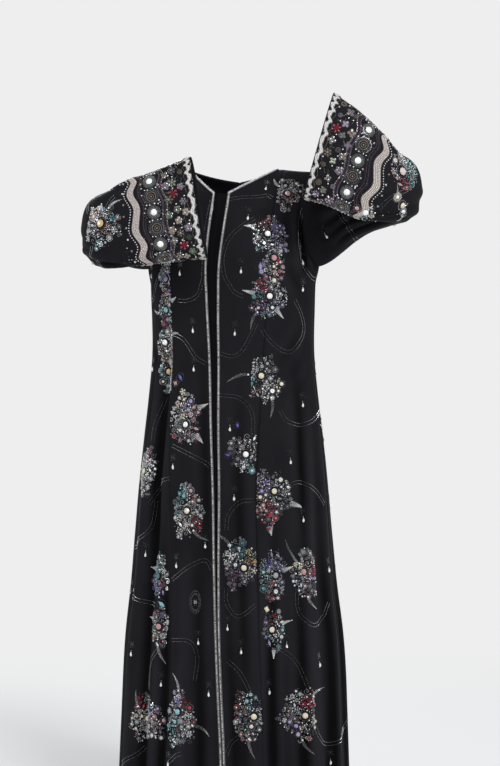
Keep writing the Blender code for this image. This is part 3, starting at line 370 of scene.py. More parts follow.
def top_edge(side, column):
    """Return the top boundary of one half: neckline curve, shoulder line, armhole, shoulder line, neck."""
    middle, gap = table_at(FRONT_LINES, NECK_FRONT[1])[0, :2]
    front_edge = (SIGN[side] * middle + gap, *NECK_FRONT)

    def between(a, b, t):
        return a + (b - a) * np.clip(t, 0, 1)[:, None]

    ends = (0, NECK, PRINCESS, SHOULDER, SIDE, BACK_SHOULDER, BACK_NECK, CENTRE_BACK)
    front, seam, shoulder, under, behind, shoulder_back, back = (
        (column - a) / (b - a) for a, b in zip(ends[:-1], ends[1:]))
    pieces = [bezier(front_edge, NECK_FRONT_MIDDLE, NECK_SHOULDER, np.clip(front, 0, 1)),
              between(NECK_SHOULDER, SEAM_AT, seam), between(SEAM_AT, SHOULDER_TIP, shoulder),
              armhole(math.pi * (1 - under), -1), armhole(math.pi * behind, 1),
              between(SHOULDER_TIP, NECK_SHOULDER, shoulder_back),
              bezier(NECK_SHOULDER, NECK_BACK_MIDDLE, NECK_BACK, np.clip(back, 0, 1))]
    last = np.searchsorted(ends[1:-1], column, side="left")
    points = np.choose(last[:, None], pieces)
    points[:, 0] *= SIGN[side]
    return points


def half_body(side):
    """Return one half of the body: folded rings up to the chest, and above it Hermite curves in each
    column from the ring's slope to the top edge's lean."""
    column = np.arange(CENTRE_BACK * FINE + 1) / FINE
    skirt = np.linspace(HEM_HEIGHT, CHEST_HEIGHT, SKIRT_ROWS * FINE + 1)
    lower, push = ring_points(side, ring_angles(side, skirt, column), skirt)
    nearby = np.array([CHEST_HEIGHT - CHEST_STEP / 2, CHEST_HEIGHT + CHEST_STEP / 2])
    slope = unit(np.diff(ring_points(side, ring_angles(side, nearby, column), nearby, False)[0], axis=0))[0]
    top = top_edge(side, column)
    out, back = (np.interp(column, LEANS[:, 0], LEANS[:, k]) for k in (1, 2))
    way = unit(np.stack([SIGN[side] * out, back, 1 + 0 * out], axis=-1))
    start = lower[-1]
    straight = (np.clip(column - SHOULDER, 0, 1) * np.clip(BACK_SHOULDER - column, 0, 1))[:, None]
    way = unit(way + straight * unit(top - start))
    length = np.linalg.norm(top - start, axis=1, keepdims=True)
    t = np.linspace(0, 1, TORSO_ROWS * FINE + 1)[1:, None, None]
    upper = hermite(t, length, start, slope, top, way)
    return np.vstack([lower, upper]), np.vstack([push, np.zeros(upper.shape[:2])])


def sleeve(side):
    """Return a sleeve: superellipses on planes along its middle line, from the armhole's own loop, with
    folds as bells round straight runs on the unrolled sleeve."""
    table = np.asarray(SECTIONS[side], float)
    stations = lengths_along(table[:, :3])
    along = np.linspace(0, stations[-1], SLEEVE_ROWS * FINE + 1)
    rows = smooth_rows(stations, table, along)
    ahead = np.gradient(rows[:, :3], along, axis=0)
    ahead[:, 2] = 0
    ahead = unit(ahead)
    up = np.array([0.0, 0.0, 1.0])
    lean = np.radians(rows[:, 5:6])
    tall = np.cos(lean) * up - np.sin(lean) * ahead
    deep = SIGN[side] * np.cross(ahead, up)
    count = ROUND * FINE
    turn = np.arange(count) * 2 * math.pi / count
    power = 2 / SLEEVE_POWER
    rise = (-np.sign(np.cos(turn)) * np.abs(np.cos(turn)) ** power)[None, :, None]
    depth = (np.sign(np.sin(turn)) * np.abs(np.sin(turn)) ** power)[None, :, None]
    grid = (rows[:, None, :3] + rise * (rows[:, 3:4] * tall)[:, None, :]
            + depth * (rows[:, 4:5] * deep)[:, None, :])
    half = np.arange(count // 2) * math.pi / (count // 2)
    loop = np.vstack([armhole(half, -1), armhole(math.pi - half, 1)])
    loop[:, 0] *= SIGN[side]
    blend = smooth_step(along / CAP_LENGTH)[:, None, None]
    grid = (loop + rows[:, None, :3] - rows[0, None, None, :3]) * (1 - blend) + grid * blend
    push = np.zeros(grid.shape[:2])
    for start, start_turn, end, end_turn, reach, height in SLEEVE_FOLDS[side]:
        a = np.array([start, math.radians(start_turn) * SLEEVE_RADIUS])
        run = np.array([end, math.radians(end_turn) * SLEEVE_RADIUS]) - a
        span = np.hypot(*run)
        x = along[:, None] - a[0] + 0 * turn
        y = turn * SLEEVE_RADIUS - a[1] + 0 * along[:, None]
        forward = (x * run[0] + y * run[1]) / span
        beside = (x * run[1] - y * run[0]) / span
        past = np.maximum(np.maximum(-forward, forward - span), 0)
        push += height * np.exp(-(beside / reach) ** 2 - (past / (1.5 * reach)) ** 2)
    push *= smooth_step(along / CAP_PLAIN)[:, None]
    return grid + grid_normals(grid, True) * -SIGN[side] * push[:, :, None], push


class Surface:
    """A grid of cloth points with normals, read at fractional columns and rows by bilinear blending."""

    def __init__(self, name, grid, push, out, wrap):
        self.name = name
        self.grid = grid
        self.fold = 0.05 * push     # how far creases and a bit of the broad folds stand out: painted fold shade
        self.out = out              # +1 or -1: turns the grid's own normal outward
        self.wrap = wrap
        self.normals = grid_normals(grid, wrap) * out
        self.up = -1 if wrap else 1
        self.last_row = SLEEVE_ROWS if wrap else TOP_ROW

    def press(self, creases):
        """Push the grid along its normals by depth * exp(-(d/reach)^2), with d the distance to a bowed
        line, lower ridges at both sides of a trough, and a fading towards its ends but not at the hem."""
        parts = 8
        push = np.zeros(self.grid.shape[:2])
        for c0, r0, c1, r1, reach, depth in creases:
            t = np.linspace(0, 1, parts + 1)
            bow = 0.10 * np.sin(math.pi * t) * (1 if (c0 * 7 + r0 * 3) % 2 < 1 else -1)
            line = self.sample(self.grid, c0 + (c1 - c0) * t + bow * (r1 - r0) * 0.3,
                               r0 + (r1 - r0) * t - bow * (c1 - c0) * 0.3)
            best = np.full(push.shape, 1e9)
            share = np.zeros(push.shape)
            for k in range(parts):
                run = line[k + 1] - line[k]
                s = np.clip((self.grid - line[k]) @ run / (run @ run), 0, 1)
                away = np.linalg.norm(self.grid - line[k] - s[..., None] * run, axis=-1)
                closer = away < best
                best = np.where(closer, away, best)
                share = np.where(closer, (k + s) / parts, share)
            fade = np.sin(math.pi / (2 if r1 == 0 else 1) * np.clip(share, 0.02, 0.98)) ** 0.8
            beside = 0.4 * np.exp(-((best - 2.0 * reach) / (0.8 * reach)) ** 2)
            push += depth * fade * (np.exp(-(best / reach) ** 2) - beside)
        rows = np.arange(push.shape[0]) / FINE
        push *= smooth_step((rows if self.wrap else TOP_ROW - rows) / 0.8)[:, None]
        self.grid = self.grid + self.normals * push[..., None]
        self.fold = self.fold + push
        self.normals = grid_normals(self.grid, self.wrap) * self.out

    def finish(self, beyond=None):
        """Work out the steps along columns and rows; a body half is read past centre back too."""
        grid, normals = self.grid, self.normals
        if beyond is not None:
            extra = slice(-2, -2 - 6 * FINE, -1)    # six columns of the other half
            grid = np.hstack([grid, beyond.grid[:, extra]])
            normals = np.hstack([normals, beyond.normals[:, extra]])
        if self.wrap:
            by_column = (np.roll(grid, -1, axis=1) - np.roll(grid, 1, axis=1)) * FINE / 2
        else:
            by_column = np.gradient(grid, axis=1) * FINE
        self.fields = np.concatenate([grid, normals, by_column, np.gradient(grid, axis=0) * FINE], axis=2)

    def sample(self, field, column, row):
        """Blend a field's four corners round each place."""
        column = np.asarray(column, float) * FINE
        row = np.clip(np.asarray(row, float) * FINE, 0, field.shape[0] - 1.001)
        if not self.wrap:
            column = np.clip(column, 0, field.shape[1] - 1.001)
        r, c = np.floor(row).astype(int), np.floor(column).astype(int)
        fr, fc = (row - r)[..., None], (column - c)[..., None]
        c0, c1 = c % field.shape[1], (c + 1) % field.shape[1]
        return ((field[r, c0] * (1 - fc) + field[r, c1] * fc) * (1 - fr)
                + (field[r + 1, c0] * (1 - fc) + field[r + 1, c1] * fc) * fr)

    def read(self, column, row):
        """Return point, outward normal, way along the columns and way along the rows."""
        field = self.sample(self.fields, column, row)
        return field[..., :3], unit(field[..., 3:6]), field[..., 6:9], field[..., 9:]

    def frame(self, column, row):
        """Return point, right, up and outward directions, and the matrix from columns and rows to them."""
        point, normal, by_column, by_row = self.read(column, row)
        up = by_row * self.up
        up = unit(up - normal * np.sum(up * normal, axis=-1, keepdims=True))
        right = np.cross(up, normal)
        dots = [np.sum(a * b, axis=-1) for a in (right, up) for b in (by_column, by_row)]
        return point, right, up, normal, dots

    def spread(self, column, row, x, y):
        """Return the places that lie x to the right and y up on the cloth from one place, in metres."""
        column = column + 0 * x
        row = row + 0 * x
        at_column, at_row = column, row
        for share in (0.5, 1.0):
            a, b, c, d = self.frame(at_column, at_row)[4]
            det = a * d - b * c
            at_column = column + share * (d * x - b * y) / det
            at_row = row + share * (a * y - c * x) / det
        return at_column, at_row


def build_surfaces():
    """Return the four surfaces, with shared normals at centre back, shoulder seams and armholes."""
    made = {}
    for side, sign in SIGN.items():
        made["body_" + side] = Surface("body_" + side, *half_body(side), sign, False)
        made["sleeve_" + side] = Surface("sleeve_" + side, *sleeve(side), -sign, True)
    for name, surface in made.items():
        surface.press(CREASES[name])
    for side in SIGN:
        body, arm = made["body_" + side], made["sleeve_" + side]
        body.normals[:, -1, 0] = 0
        body.normals[:, -1] = unit(body.normals[:, -1])
        front = np.arange(NECK * FINE, SHOULDER * FINE + 1)
        past_seam = np.clip(front / FINE - PRINCESS, 0, SHOULDER - PRINCESS)
        behind = np.round((BACK_NECK - past_seam) * FINE).astype(int)
        shared = unit(body.normals[-1, front] + body.normals[-1, behind])
        body.normals[-1, front] = shared
        body.normals[-1, behind] = shared
        under, tip, back_tip = SIDE * FINE, SHOULDER * FINE, BACK_SHOULDER * FINE
        loop = np.concatenate([np.arange(under, tip - 1, -1), np.arange(back_tip - 1, under, -1)])
        both = unit(body.normals[-1, loop] + arm.normals[0, ::2])
        body.normals[-1, loop] = both
        body.normals[-1, back_tip] = both[under - tip]
        arm.normals[0, ::2] = both
        arm.normals[0, 1::2] = unit(both + np.roll(both, -1, axis=0))
    for side, other in (("left", "right"), ("right", "left")):
        made["body_" + side].finish(made["body_" + other])
        made["sleeve_" + side].finish()
    return made


# ---- meshes
def add_object(name, data):
    """Put a new object in the scene."""
    item = bpy.data.objects.new(name, data)
    bpy.context.scene.collection.objects.link(item)
    return item


def new_mesh(name, points, faces, smooth=False):
    """Make a mesh from an array of points and one of triangles or quads."""
    mesh = bpy.data.meshes.new(name)
    mesh.vertices.add(len(points))
    mesh.vertices.foreach_set("co", np.asarray(points, np.float32).ravel())
    mesh.loops.add(faces.size)
    mesh.loops.foreach_set("vertex_index", faces.ravel().astype(np.int32))
    mesh.polygons.add(len(faces))
    mesh.polygons.foreach_set("loop_start", np.arange(len(faces), dtype=np.int32) * faces.shape[1])
    mesh.polygons.foreach_set("use_smooth", np.full(len(faces), smooth))
    mesh.update(calc_edges=True)
    return mesh


def mesh_piece(name, points, faces, materials, tint, slot, smooth=True, index=None, replace=()):
    """Make a piece that rides on the body, with a colour for each point, painted fold shade on the cloth,
    and a material's number for each face."""
    mesh = new_mesh(name, points, faces, smooth)
    if index is not None:
        mesh.polygons.foreach_set("material_index", index.astype(np.int32))
    for material in materials:
        mesh.materials.append(material)
    layer = mesh.color_attributes.new("tint", "FLOAT_COLOR", "POINT")
    layer.data.foreach_set("color", tint.astype(np.float32).ravel())
    item = add_object(name, mesh)
    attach(item, "root")
    if replace:
        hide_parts(*replace)
    return item


def with_alpha(colours):
    """Add a full alpha to rows of colours."""
    return np.column_stack([colours, np.ones(len(colours))])


def wall_tint(shade):
    """Return the point colours of a wall from the grey shade of its outer grid, painted fold shade on the
    cloth.
    """
    return with_alpha(np.tile(shade.reshape(-1, 1), (2, 3)))


def wall(outer, normals, thickness, wrap=False):
    """Return the points and quads of a closed wall: an outer grid, an inner one below it and its rims."""
    rows, columns = outer.shape[:2]
    points = np.vstack([outer.reshape(-1, 3), (outer - normals * thickness).reshape(-1, 3)])
    count = rows * columns
    r, c = np.meshgrid(np.arange(rows - 1), np.arange(columns if wrap else columns - 1), indexing="ij")
    after, r = (c + 1) % columns, r * columns
    quads = np.stack([r + c, r + after, r + columns + after, r + columns + c], axis=-1).reshape(-1, 4)
    index = np.arange(count).reshape(rows, columns)
    if wrap:
        rims = [np.append(index[0], index[0, 0])[::-1], np.append(index[-1], index[-1, 0])]
    else:
        rims = [np.concatenate([index[0, ::-1], index[1:-1, 0], index[-1], index[-2::-1, -1]])]
    faces = [quads, quads[:, ::-1] + count]
    for rim in rims:
        faces.append(np.stack([rim[:-1], rim[1:], rim[1:] + count, rim[:-1] + count], axis=1))
    faces = np.vstack(faces)
    first = points[faces[0]]
    if np.dot(np.cross(first[1] - first[0], first[2] - first[0]), normals[0, 0]) < 0:
        faces = faces[:, ::-1]
    return points, faces


# ---- materials
def wire(tree, item, inputs):
    """Set a node's inputs to values or to other nodes' sockets."""
    for key, value in inputs.items():
        if isinstance(value, bpy.types.NodeSocket):
            tree.links.new(value, item.inputs[key])
        else:
            item.inputs[key].default_value = value


def node(tree, kind, inputs, **settings):
    """Add a node with its settings and inputs."""
    item = tree.nodes.new("ShaderNode" + kind)
    for key, value in settings.items():
        setattr(item, key, value)
    wire(tree, item, inputs)
    return item


def material(name):
    """Return a new node material, its tree, its shader and its Object coordinates."""
    made = bpy.data.materials.new(name)
    made.use_nodes = True
    tree = made.node_tree
    return made, tree, tree.nodes["Principled BSDF"], node(tree, "TexCoord", {}).outputs["Object"]


def tint_of(tree):
    """Return the piece's point colours: the beads' own colours, the cloth's painted fold shade."""
    return node(tree, "Attribute", {}, attribute_name="tint").outputs["Color"]


def tinted(tree, colour):
    """Return a colour multiplied by the piece's point colours, which on the cloth are painted fold shade.
    """
    return node(tree, "Mix", {"Factor": 1.0, "A": colour, "B": tint_of(tree)}, data_type="RGBA",
                blend_type="MULTIPLY").outputs["Result"]


def ramp(tree, factor, stops):
    """Add a colour ramp with stops of position and colour."""
    item = node(tree, "ValToRGB", {"Fac": factor})
    while len(item.color_ramp.elements) < len(stops):
        item.color_ramp.elements.new(0.5)
    for element, (place, colour) in zip(item.color_ramp.elements, stops):
        element.position = place
        element.color = (*colour, 1)
    return item


def crepe_material(name):
    """Black crepe: a pebbled crepe weave as bump over fine crossing yarns, slow shifts of tone and a soft
    sheen, its colour multiplied by painted fold shade: darker in troughs, paler on ridges as painted
    highlight."""
    made, tree, shader, place = material(name)
    slow = node(tree, "TexNoise", {"Vector": place, "Scale": 9.0, "Detail": 4.0, "Roughness": 0.55})
    base = ramp(tree, slow.outputs["Fac"],
                ((0.25, (0.0078, 0.0077, 0.0096)), (0.75, (0.0112, 0.0111, 0.0134))))
    pebble = node(tree, "TexNoise", {"Vector": place, "Scale": 1300.0, "Detail": 2.0, "Roughness": 0.6})
    yarns = [node(tree, "TexWave", {"Vector": place, "Scale": 260.0, "Distortion": 1.5, "Detail": 1.0},
                  bands_direction=way).outputs["Fac"] for way in ("Z", "DIAGONAL")]
    weave = node(tree, "Math", dict(enumerate(yarns)), operation="MULTIPLY")
    heights = node(tree, "Math", {0: weave.outputs[0], 1: 0.35, 2: pebble.outputs["Fac"]},
                   operation="MULTIPLY_ADD")
    soft = node(tree, "TexNoise", {"Vector": place, "Scale": 55.0, "Detail": 3.0, "Roughness": 0.5})
    ripple = node(tree, "Bump", {"Strength": 0.35, "Distance": 0.0012, "Height": soft.outputs["Fac"]})
    bump = node(tree, "Bump", {"Strength": 0.45, "Distance": 0.00025, "Height": heights.outputs[0],
                               "Normal": ripple.outputs["Normal"]})
    wire(tree, shader, {"Base Color": tinted(tree, base.outputs["Color"]), "Normal": bump.outputs["Normal"],
                        "Roughness": 0.62, "Specular IOR Level": 0.03, "Sheen Weight": 0.008,
                        "Sheen Roughness": 0.45})
    return made


def bead_material(name, roughness, metallic, coat):
    """Beads coloured by their own tint, with fine mottling and small dents in the light they return."""
    made, tree, shader, place = material(name)
    mottle = node(tree, "TexNoise", {"Vector": place, "Scale": 420.0, "Detail": 2.0}).outputs["Fac"]
    tone, rough = (node(tree, "MapRange", {"Value": mottle, "From Min": 0.3, "From Max": 0.7, "To Min": low,
                                           "To Max": high}).outputs["Result"]
                   for low, high in ((0.72, 1.12), (roughness * 0.75, roughness * 1.3)))
    colour = node(tree, "VectorMath", {0: tint_of(tree), "Scale": tone}, operation="SCALE")
    bump = node(tree, "Bump", {"Strength": 0.25, "Distance": 0.0002, "Height": mottle})
    wire(tree, shader, {"Base Color": colour.outputs["Vector"], "Roughness": rough,
                        "Normal": bump.outputs["Normal"], "Metallic": metallic, "Coat Weight": coat,
                        "Coat Roughness": 0.08})
    return made


def thread_material(name, pale, deep):
    """Braided or ribbed thread: two tones by fine noise, twisted strands as bump, tinted by the piece."""
    made, tree, shader, place = material(name)
    fibre = node(tree, "TexNoise", {"Vector": place, "Scale": 900.0, "Detail": 3.0, "Roughness": 0.6})
    twist = node(tree, "TexWave", {"Vector": place, "Scale": 330.0, "Distortion": 2.5, "Detail": 2.0},
                 bands_direction="DIAGONAL")
    tone = ramp(tree, fibre.outputs["Fac"], ((0.3, deep), (0.7, pale)))
    heights = node(tree, "Math", {0: twist.outputs["Fac"], 1: fibre.outputs["Fac"]}, operation="ADD")
    bump = node(tree, "Bump", {"Strength": 0.6, "Distance": 0.0004, "Height": heights.outputs[0]})
    wire(tree, shader, {"Base Color": tinted(tree, tone.outputs["Color"]), "Normal": bump.outputs["Normal"],
                        "Roughness": 0.62, "Sheen Weight": 0.15, "Sheen Roughness": 0.5})
    return made


# ---- floor, light and camera
GROUND = (0.855, 0.855, 0.855, 1)   # the pale ground that the floor fades into
FLOOR_HEIGHT = -1.432
# Lamps.  Columns: name, place, aim, size and power.
LAMPS = (("key", (2.7, -3.1, 2.3), (0, 0, -0.45), 1.6, 200),
         ("fill", (-3.0, -1.9, 1.0), (0, 0, -0.6), 1.4, 38),
         ("rim", (-1.4, 3.4, 2.0), (0, 0, -0.3), 2.0, 90))
# The camera's lens in mm, turn, and place: to the right, away and up.
LENS, CAMERA_TURN, CAMERA_PLACE = 95.17, math.radians(15), (0.0378, 4.5, -0.4622)


def build_floor():
    """Make a wide pale floor, rings of quads round the origin, that fades into the ground's own colour."""
    rings = np.concatenate([[0.0], np.geomspace(0.4, 60.0, 24)])[:, None]
    count = 64
    turn = np.arange(count) * 2 * math.pi / count
    points = np.stack([rings * np.cos(turn), rings * np.sin(turn), FLOOR_HEIGHT + 0 * rings * turn],
                      axis=-1)
    r, k = np.meshgrid(np.arange(len(rings) - 1) * count, np.arange(count), indexing="ij")
    after = (k + 1) % count
    quads = np.stack([r + k, r + k + count, r + after + count, r + after], axis=-1).reshape(-1, 4)
    floor = add_object("floor", new_mesh("floor", points.reshape(-1, 3), quads))
    made, tree, shader, place = material("floor_paper")
    length = node(tree, "VectorMath", {0: place}, operation="LENGTH")
    fade = node(tree, "MapRange", {"Value": length.outputs["Value"], "From Min": 1.6, "From Max": 3.4},
                interpolation_type="SMOOTHSTEP")
    grain = node(tree, "TexNoise", {"Vector": place, "Scale": 220.0, "Detail": 3.0})
    paper = ramp(tree, grain.outputs["Fac"], ((0.3, (0.76, 0.76, 0.755)), (0.7, (0.80, 0.80, 0.795))))
    wire(tree, shader, {"Base Color": paper.outputs["Color"], "Roughness": 0.9})
    far = node(tree, "Emission", {"Color": GROUND, "Strength": 1.0})
    mixed = node(tree, "MixShader", {0: fade.outputs["Result"], 1: shader.outputs["BSDF"],
                                     2: far.outputs["Emission"]})
    wire(tree, tree.nodes["Material Output"], {"Surface": mixed.outputs["Shader"]})
    floor.data.materials.append(made)


def build_stage():
    """Make the floor, the soft lights, the camera and a world that shows the ground's colour."""
    scene = bpy.context.scene
    scene.view_settings.view_transform = "Standard"
    world = bpy.data.worlds.new("studio")
    world.use_nodes = True
    tree = world.node_tree
    soft = tree.nodes["Background"]
    wire(tree, soft, {"Color": (0.92, 0.95, 1.0, 1), "Strength": 0.42})
    paper = node(tree, "Background", {"Color": GROUND, "Strength": 1.0})
    both = node(tree, "MixShader", {0: node(tree, "LightPath", {}).outputs["Is Camera Ray"],
                                    1: soft.outputs["Background"], 2: paper.outputs["Background"]})
    wire(tree, tree.nodes["World Output"], {"Surface": both.outputs["Shader"]})
    scene.world = world
    build_floor()
    for name, place, aim, size, power in LAMPS:
        lamp = bpy.data.lights.new(name, "AREA")
        lamp.size = size
        lamp.energy = power
        item = add_object(name, lamp)
        item.location = place
        item.rotation_euler = (Vector(aim) - Vector(place)).to_track_quat("-Z", "Y").to_euler()
        item.visible_camera = False
    lens = bpy.data.cameras.new("camera")
    lens.sensor_fit = "AUTO"
    lens.sensor_width = 36
    lens.lens = LENS
    lens.clip_end = 200
    camera = add_object("camera", lens)
    right, away, up = CAMERA_PLACE
    c, s = math.cos(CAMERA_TURN), math.sin(CAMERA_TURN)
    camera.location = (right * c + away * s, right * s - away * c, up)
    camera.rotation_euler = (math.pi / 2, 0, CAMERA_TURN)
    scene.camera = camera


# ---- cloth pieces
def dipped(grid, normals, edges):
    """Sink a panel's sewn edges: each point by DIP * exp(-(way to the edge / reach)^2)."""
    push = np.zeros(grid.shape[:2])
    for edge in edges:
        axis = 1 if edge in ("first", "last") else 0
        line = np.flip(grid, axis) if edge in ("last", "top") else grid
        way = np.cumsum(np.linalg.norm(np.diff(line, axis=axis), axis=2), axis=axis)
        way = np.insert(way, 0, 0, axis=axis)
        way = np.flip(way, axis) if edge in ("last", "top") else way
        push = np.maximum(push, DIP * np.exp(-(way / DIP_REACH) ** 2))
    return grid - normals * push[..., None]


def hang_sheet(grid, wrap):
    """Copy a wrapped grid's first column to its end; nothing is returned or kept."""
    grid = np.concatenate([grid, grid[:, :1]], axis=1) if wrap else grid


def cloth_piece(name, grid, normals, edges, crepe, fold, wrap=False):
    """Make one cloth panel as a closed wall, its colour darker in troughs and paler on ridges: painted
    shade and painted highlight.
    """
    points, faces = wall(dipped(grid, normals, edges), normals, CLOTH, wrap)
    # painted shade: darker crepe in troughs, paler crepe on ridges as painted highlight
    tint = wall_tint(np.clip(1 + PAINTED_FOLD_SHADE * fold, *PAINTED_SHADE_RANGE))
    item = mesh_piece("cloth_" + name, points, faces, [crepe], tint, "black_crepe", replace=[name])
    hang_sheet(grid, wrap)


def parted(grid):
    """Draw a panel's first and last columns in by half the gap of a seam."""
    grid = grid.copy()
    for edge, nearby in ((0, 1), (-1, -2)):
        grid[:, edge] += unit(grid[:, nearby] - grid[:, edge]) * SEAM / 2
    return grid


def build_cloth(surfaces, crepe):
    """Make the fronts, the back, the strip behind the opening and both sleeves."""
    for side in SIGN:
        body = surfaces["body_" + side]
        for part, first, last, edges in (("centre", 0, PRINCESS, ("last",)),
                                         ("side", PRINCESS, SIDE, ("first", "last", "top"))):
            cut = slice(first * FINE, last * FINE + 1)
            grid, normals, fold = (field[:, cut] for field in (body.grid, body.normals, body.fold))
            cloth_piece(f"front_{part}_{side}", parted(grid), normals, edges, crepe, fold)
        arm = surfaces["sleeve_" + side]
        cloth_piece(f"sleeve_{side}", arm.grid, arm.normals, ("start",), crepe, arm.fold, wrap=True)
    right, left = surfaces["body_right"], surfaces["body_left"]
    grid, normals, fold = (np.hstack([a[:, SIDE * FINE:], b[:, SIDE * FINE:-1][:, ::-1]]) for a, b in (
        (right.grid, left.grid), (right.normals, left.normals), (right.fold, left.fold)))
    cloth_piece("back", parted(grid), normals, ("first", "last"), crepe, fold)
    build_placket(surfaces, crepe)


def build_placket(surfaces, crepe):
    """Make the closing strip 3 mm behind the two front edges: a shallow trough on its middle line and
    two rows of stitching pressed beside it."""
    behind, lap, trough, stitch, shadow = 0.0030, 0.010, 0.0010, 0.0002, -0.003
    rows = np.arange(TOP_ROW * FINE + 1) / FINE
    rows[-1] -= 0.1
    sides = []
    for side in ("right", "left"):
        body = surfaces["body_" + side]
        step = np.linalg.norm(body.grid[:, FINE] - body.grid[:, 0], axis=1).mean()
        lines = []
        for way in (lap, lap / 2, 0.0):
            point, normal, _, _ = body.read(np.full(len(rows), way / step), rows)
            lines.append(point - normal * behind)
        sides.append(lines)
    right, left = sides[0], sides[1][::-1]
    between = []
    for share, dip in ((1 / 6, 0.0), (1 / 3, stitch), (0.44, 0.0), (0.5, trough), (0.56, 0.0),
                       (2 / 3, stitch), (5 / 6, 0.0)):
        line = right[-1] * (1 - share) + left[0] * share
        line[:, 1] += dip
        between.append(line)
    outer = np.stack([*right, *between, *left], axis=1)
    normals = grid_normals(outer, False)
    normals *= -np.sign(normals[:, :, 1:2])
    # the whole strip is darkened by shadow: painted shadow behind the front edges
    cloth_piece("placket", outer, normals, (), crepe, np.full(outer.shape[:2], shadow))


# ---- beads
COLOURS = {
    "white": (0.82, 0.83, 0.81), "cream": (0.66, 0.60, 0.46), "silver": (0.56, 0.57, 0.58),
    "grey": (0.30, 0.31, 0.32), "pewter": (0.17, 0.17, 0.18), "smoke": (0.085, 0.078, 0.082),
    "red": (0.24, 0.013, 0.026), "wine": (0.13, 0.014, 0.030), "teal": (0.030, 0.15, 0.17),
    "aqua": (0.20, 0.42, 0.45), "lilac": (0.27, 0.23, 0.42), "violet": (0.10, 0.075, 0.33),
    "amber": (0.50, 0.36, 0.16), "green": (0.045, 0.085, 0.050), "rose": (0.44, 0.24, 0.25),
    "plum": (0.090, 0.050, 0.085), "sage": (0.20, 0.22, 0.165), "taupe": (0.22, 0.185, 0.155),
    "blush": (0.60, 0.50, 0.47), "mauve": (0.20, 0.165, 0.235), "moss": (0.070, 0.082, 0.056),
    "ash": (0.105, 0.098, 0.100), "fawn": (0.135, 0.110, 0.090), "heath": (0.105, 0.085, 0.120),
}
COLOUR = {name: k for k, name in enumerate(COLOURS)}
TINTS = np.array(list(COLOURS.values()))


def circle(count, size=1.0):
    """Return an outline of points on a circle, the first of them half a step round."""
    turn = (np.arange(count) + 0.5) * 2 * math.pi / count
    return size * np.stack([np.cos(turn), np.sin(turn)], axis=1)


def facet_shape(outline, table, girdle=0.0):
    """Return points and triangles of a closed stone: a foot, an optional girdle and a table."""
    outline = np.asarray(outline, float)
    count = len(outline)
    levels = [(1.0, 0.0), (table, 1.0)] if girdle == 0 else [(0.82, 0.0), (1.0, girdle), (table, 1.0)]
    points = np.vstack([np.column_stack([outline * size, np.full(count, high)]) for size, high in levels])
    k = np.arange(count)
    after = (k + 1) % count
    faces = []
    for level in range(len(levels) - 1):
        a, b = level * count + k, level * count + after
        faces += [np.stack([a, b, b + count], axis=1), np.stack([a, b + count, a + count], axis=1)]
    fan = np.stack([0 * k[1:-1], k[1:-1], k[2:]], axis=1)
    faces += [fan[:, ::-1], fan + (len(levels) - 1) * count]
    return points, np.vstack(faces)


SEED = (np.array([(1, 0, 0.45), (0, 1, 0.45), (-1, 0, 0.45), (0, -1, 0.45), (0, 0, 0), (0, 0, 1.0)], float),
        np.array([(0, 1, 5), (1, 2, 5), (2, 3, 5), (3, 0, 5), (1, 0, 4), (2, 1, 4), (3, 2, 4), (0, 3, 4)]))
STUD = (np.array([(1, 0, 0), (0, 1, 0), (-1, 0, 0), (0, -1, 0), (0, 0, 1.0)], float),
        np.array([(0, 1, 4), (1, 2, 4), (2, 3, 4), (3, 0, 4), (0, 2, 1), (0, 3, 2)]))
DROP = [(0, 1), (-0.35, 0.35), (-0.85, -0.25), (-0.75, -0.75), (0, -1), (0.75, -0.75), (0.85, -0.25),
        (0.35, 0.35)]
NAVETTE = [(0, 1), (-0.9, 0.15), (-0.7, -0.5), (0, -1), (0.7, -0.5), (0.9, 0.15)]
# Bead shapes: points and triangles, and the material they take (0 glass, 1 metal, 2 pearl).
SHAPES = {
    "seed": (*SEED, 0),
    "metal": (*STUD, 1),
    "pearl": (*facet_shape(circle(6), 0.5, 0.45), 2),
    "stone": (*facet_shape(circle(8), 0.52, 0.4), 0),
    "square": (*facet_shape(circle(4), 0.6), 0),
    "navette": (*facet_shape(NAVETTE, 0.45), 0),
    "drop": (*facet_shape(DROP, 0.5, 0.35), 0),
    "disc": (*facet_shape(circle(10), 0.86), 0),
    "bar": (*facet_shape([(1, 1), (-1, 1), (-1, -1), (1, -1)], 0.55), 0),
    "bugle": (*facet_shape(circle(4, 1.414), 0.7), 1),
}
SHAPE = {name: k for k, name in enumerate(SHAPES)}
# Columns of a bead row: shape, x, y, turn, half width, half length, height, lift and colour.


def beads(shape, x, y, wide, long=None, high=None, turn=0.0, colour="white", lift=0.0):
    """Return bead rows from values or arrays."""
    long = wide if long is None else long
    high = 1.3 * np.minimum(wide, long) if high is None else high
    colour = COLOUR[colour] if isinstance(colour, str) else colour
    row = (SHAPE[shape], x, y, turn, wide, long, high, lift, colour)
    return np.stack([part.astype(float) for part in np.broadcast_arrays(*map(np.atleast_1d, row))], axis=1)


def moved(rows, x=0.0, y=0.0, turn=0.0):
    """Turn and shift bead rows on their plane."""
    rows = rows.copy()
    c, s = math.cos(turn), math.sin(turn)
    rows[:, 1], rows[:, 2] = c * rows[:, 1] - s * rows[:, 2] + x, s * rows[:, 1] + c * rows[:, 2] + y
    rows[:, 3] += turn
    return rows


def ring(radius, count, shape, wide, long=None, colour="silver", start=0.0, high=None):
    """Set beads on a circle, their long sides pointing outward."""
    turn = (np.arange(count) + start) * 2 * math.pi / count
    return beads(shape, radius * np.cos(turn), radius * np.sin(turn), wide, long, high, turn - math.pi / 2,
                 colour)


def pick(rng, names):
    """Draw one of the names in a line of them."""
    return str(rng.choice(names.split()))


def around(radius, pitch):
    """Return how many beads fit round a circle."""
    return max(5, round(2 * math.pi * radius / pitch))


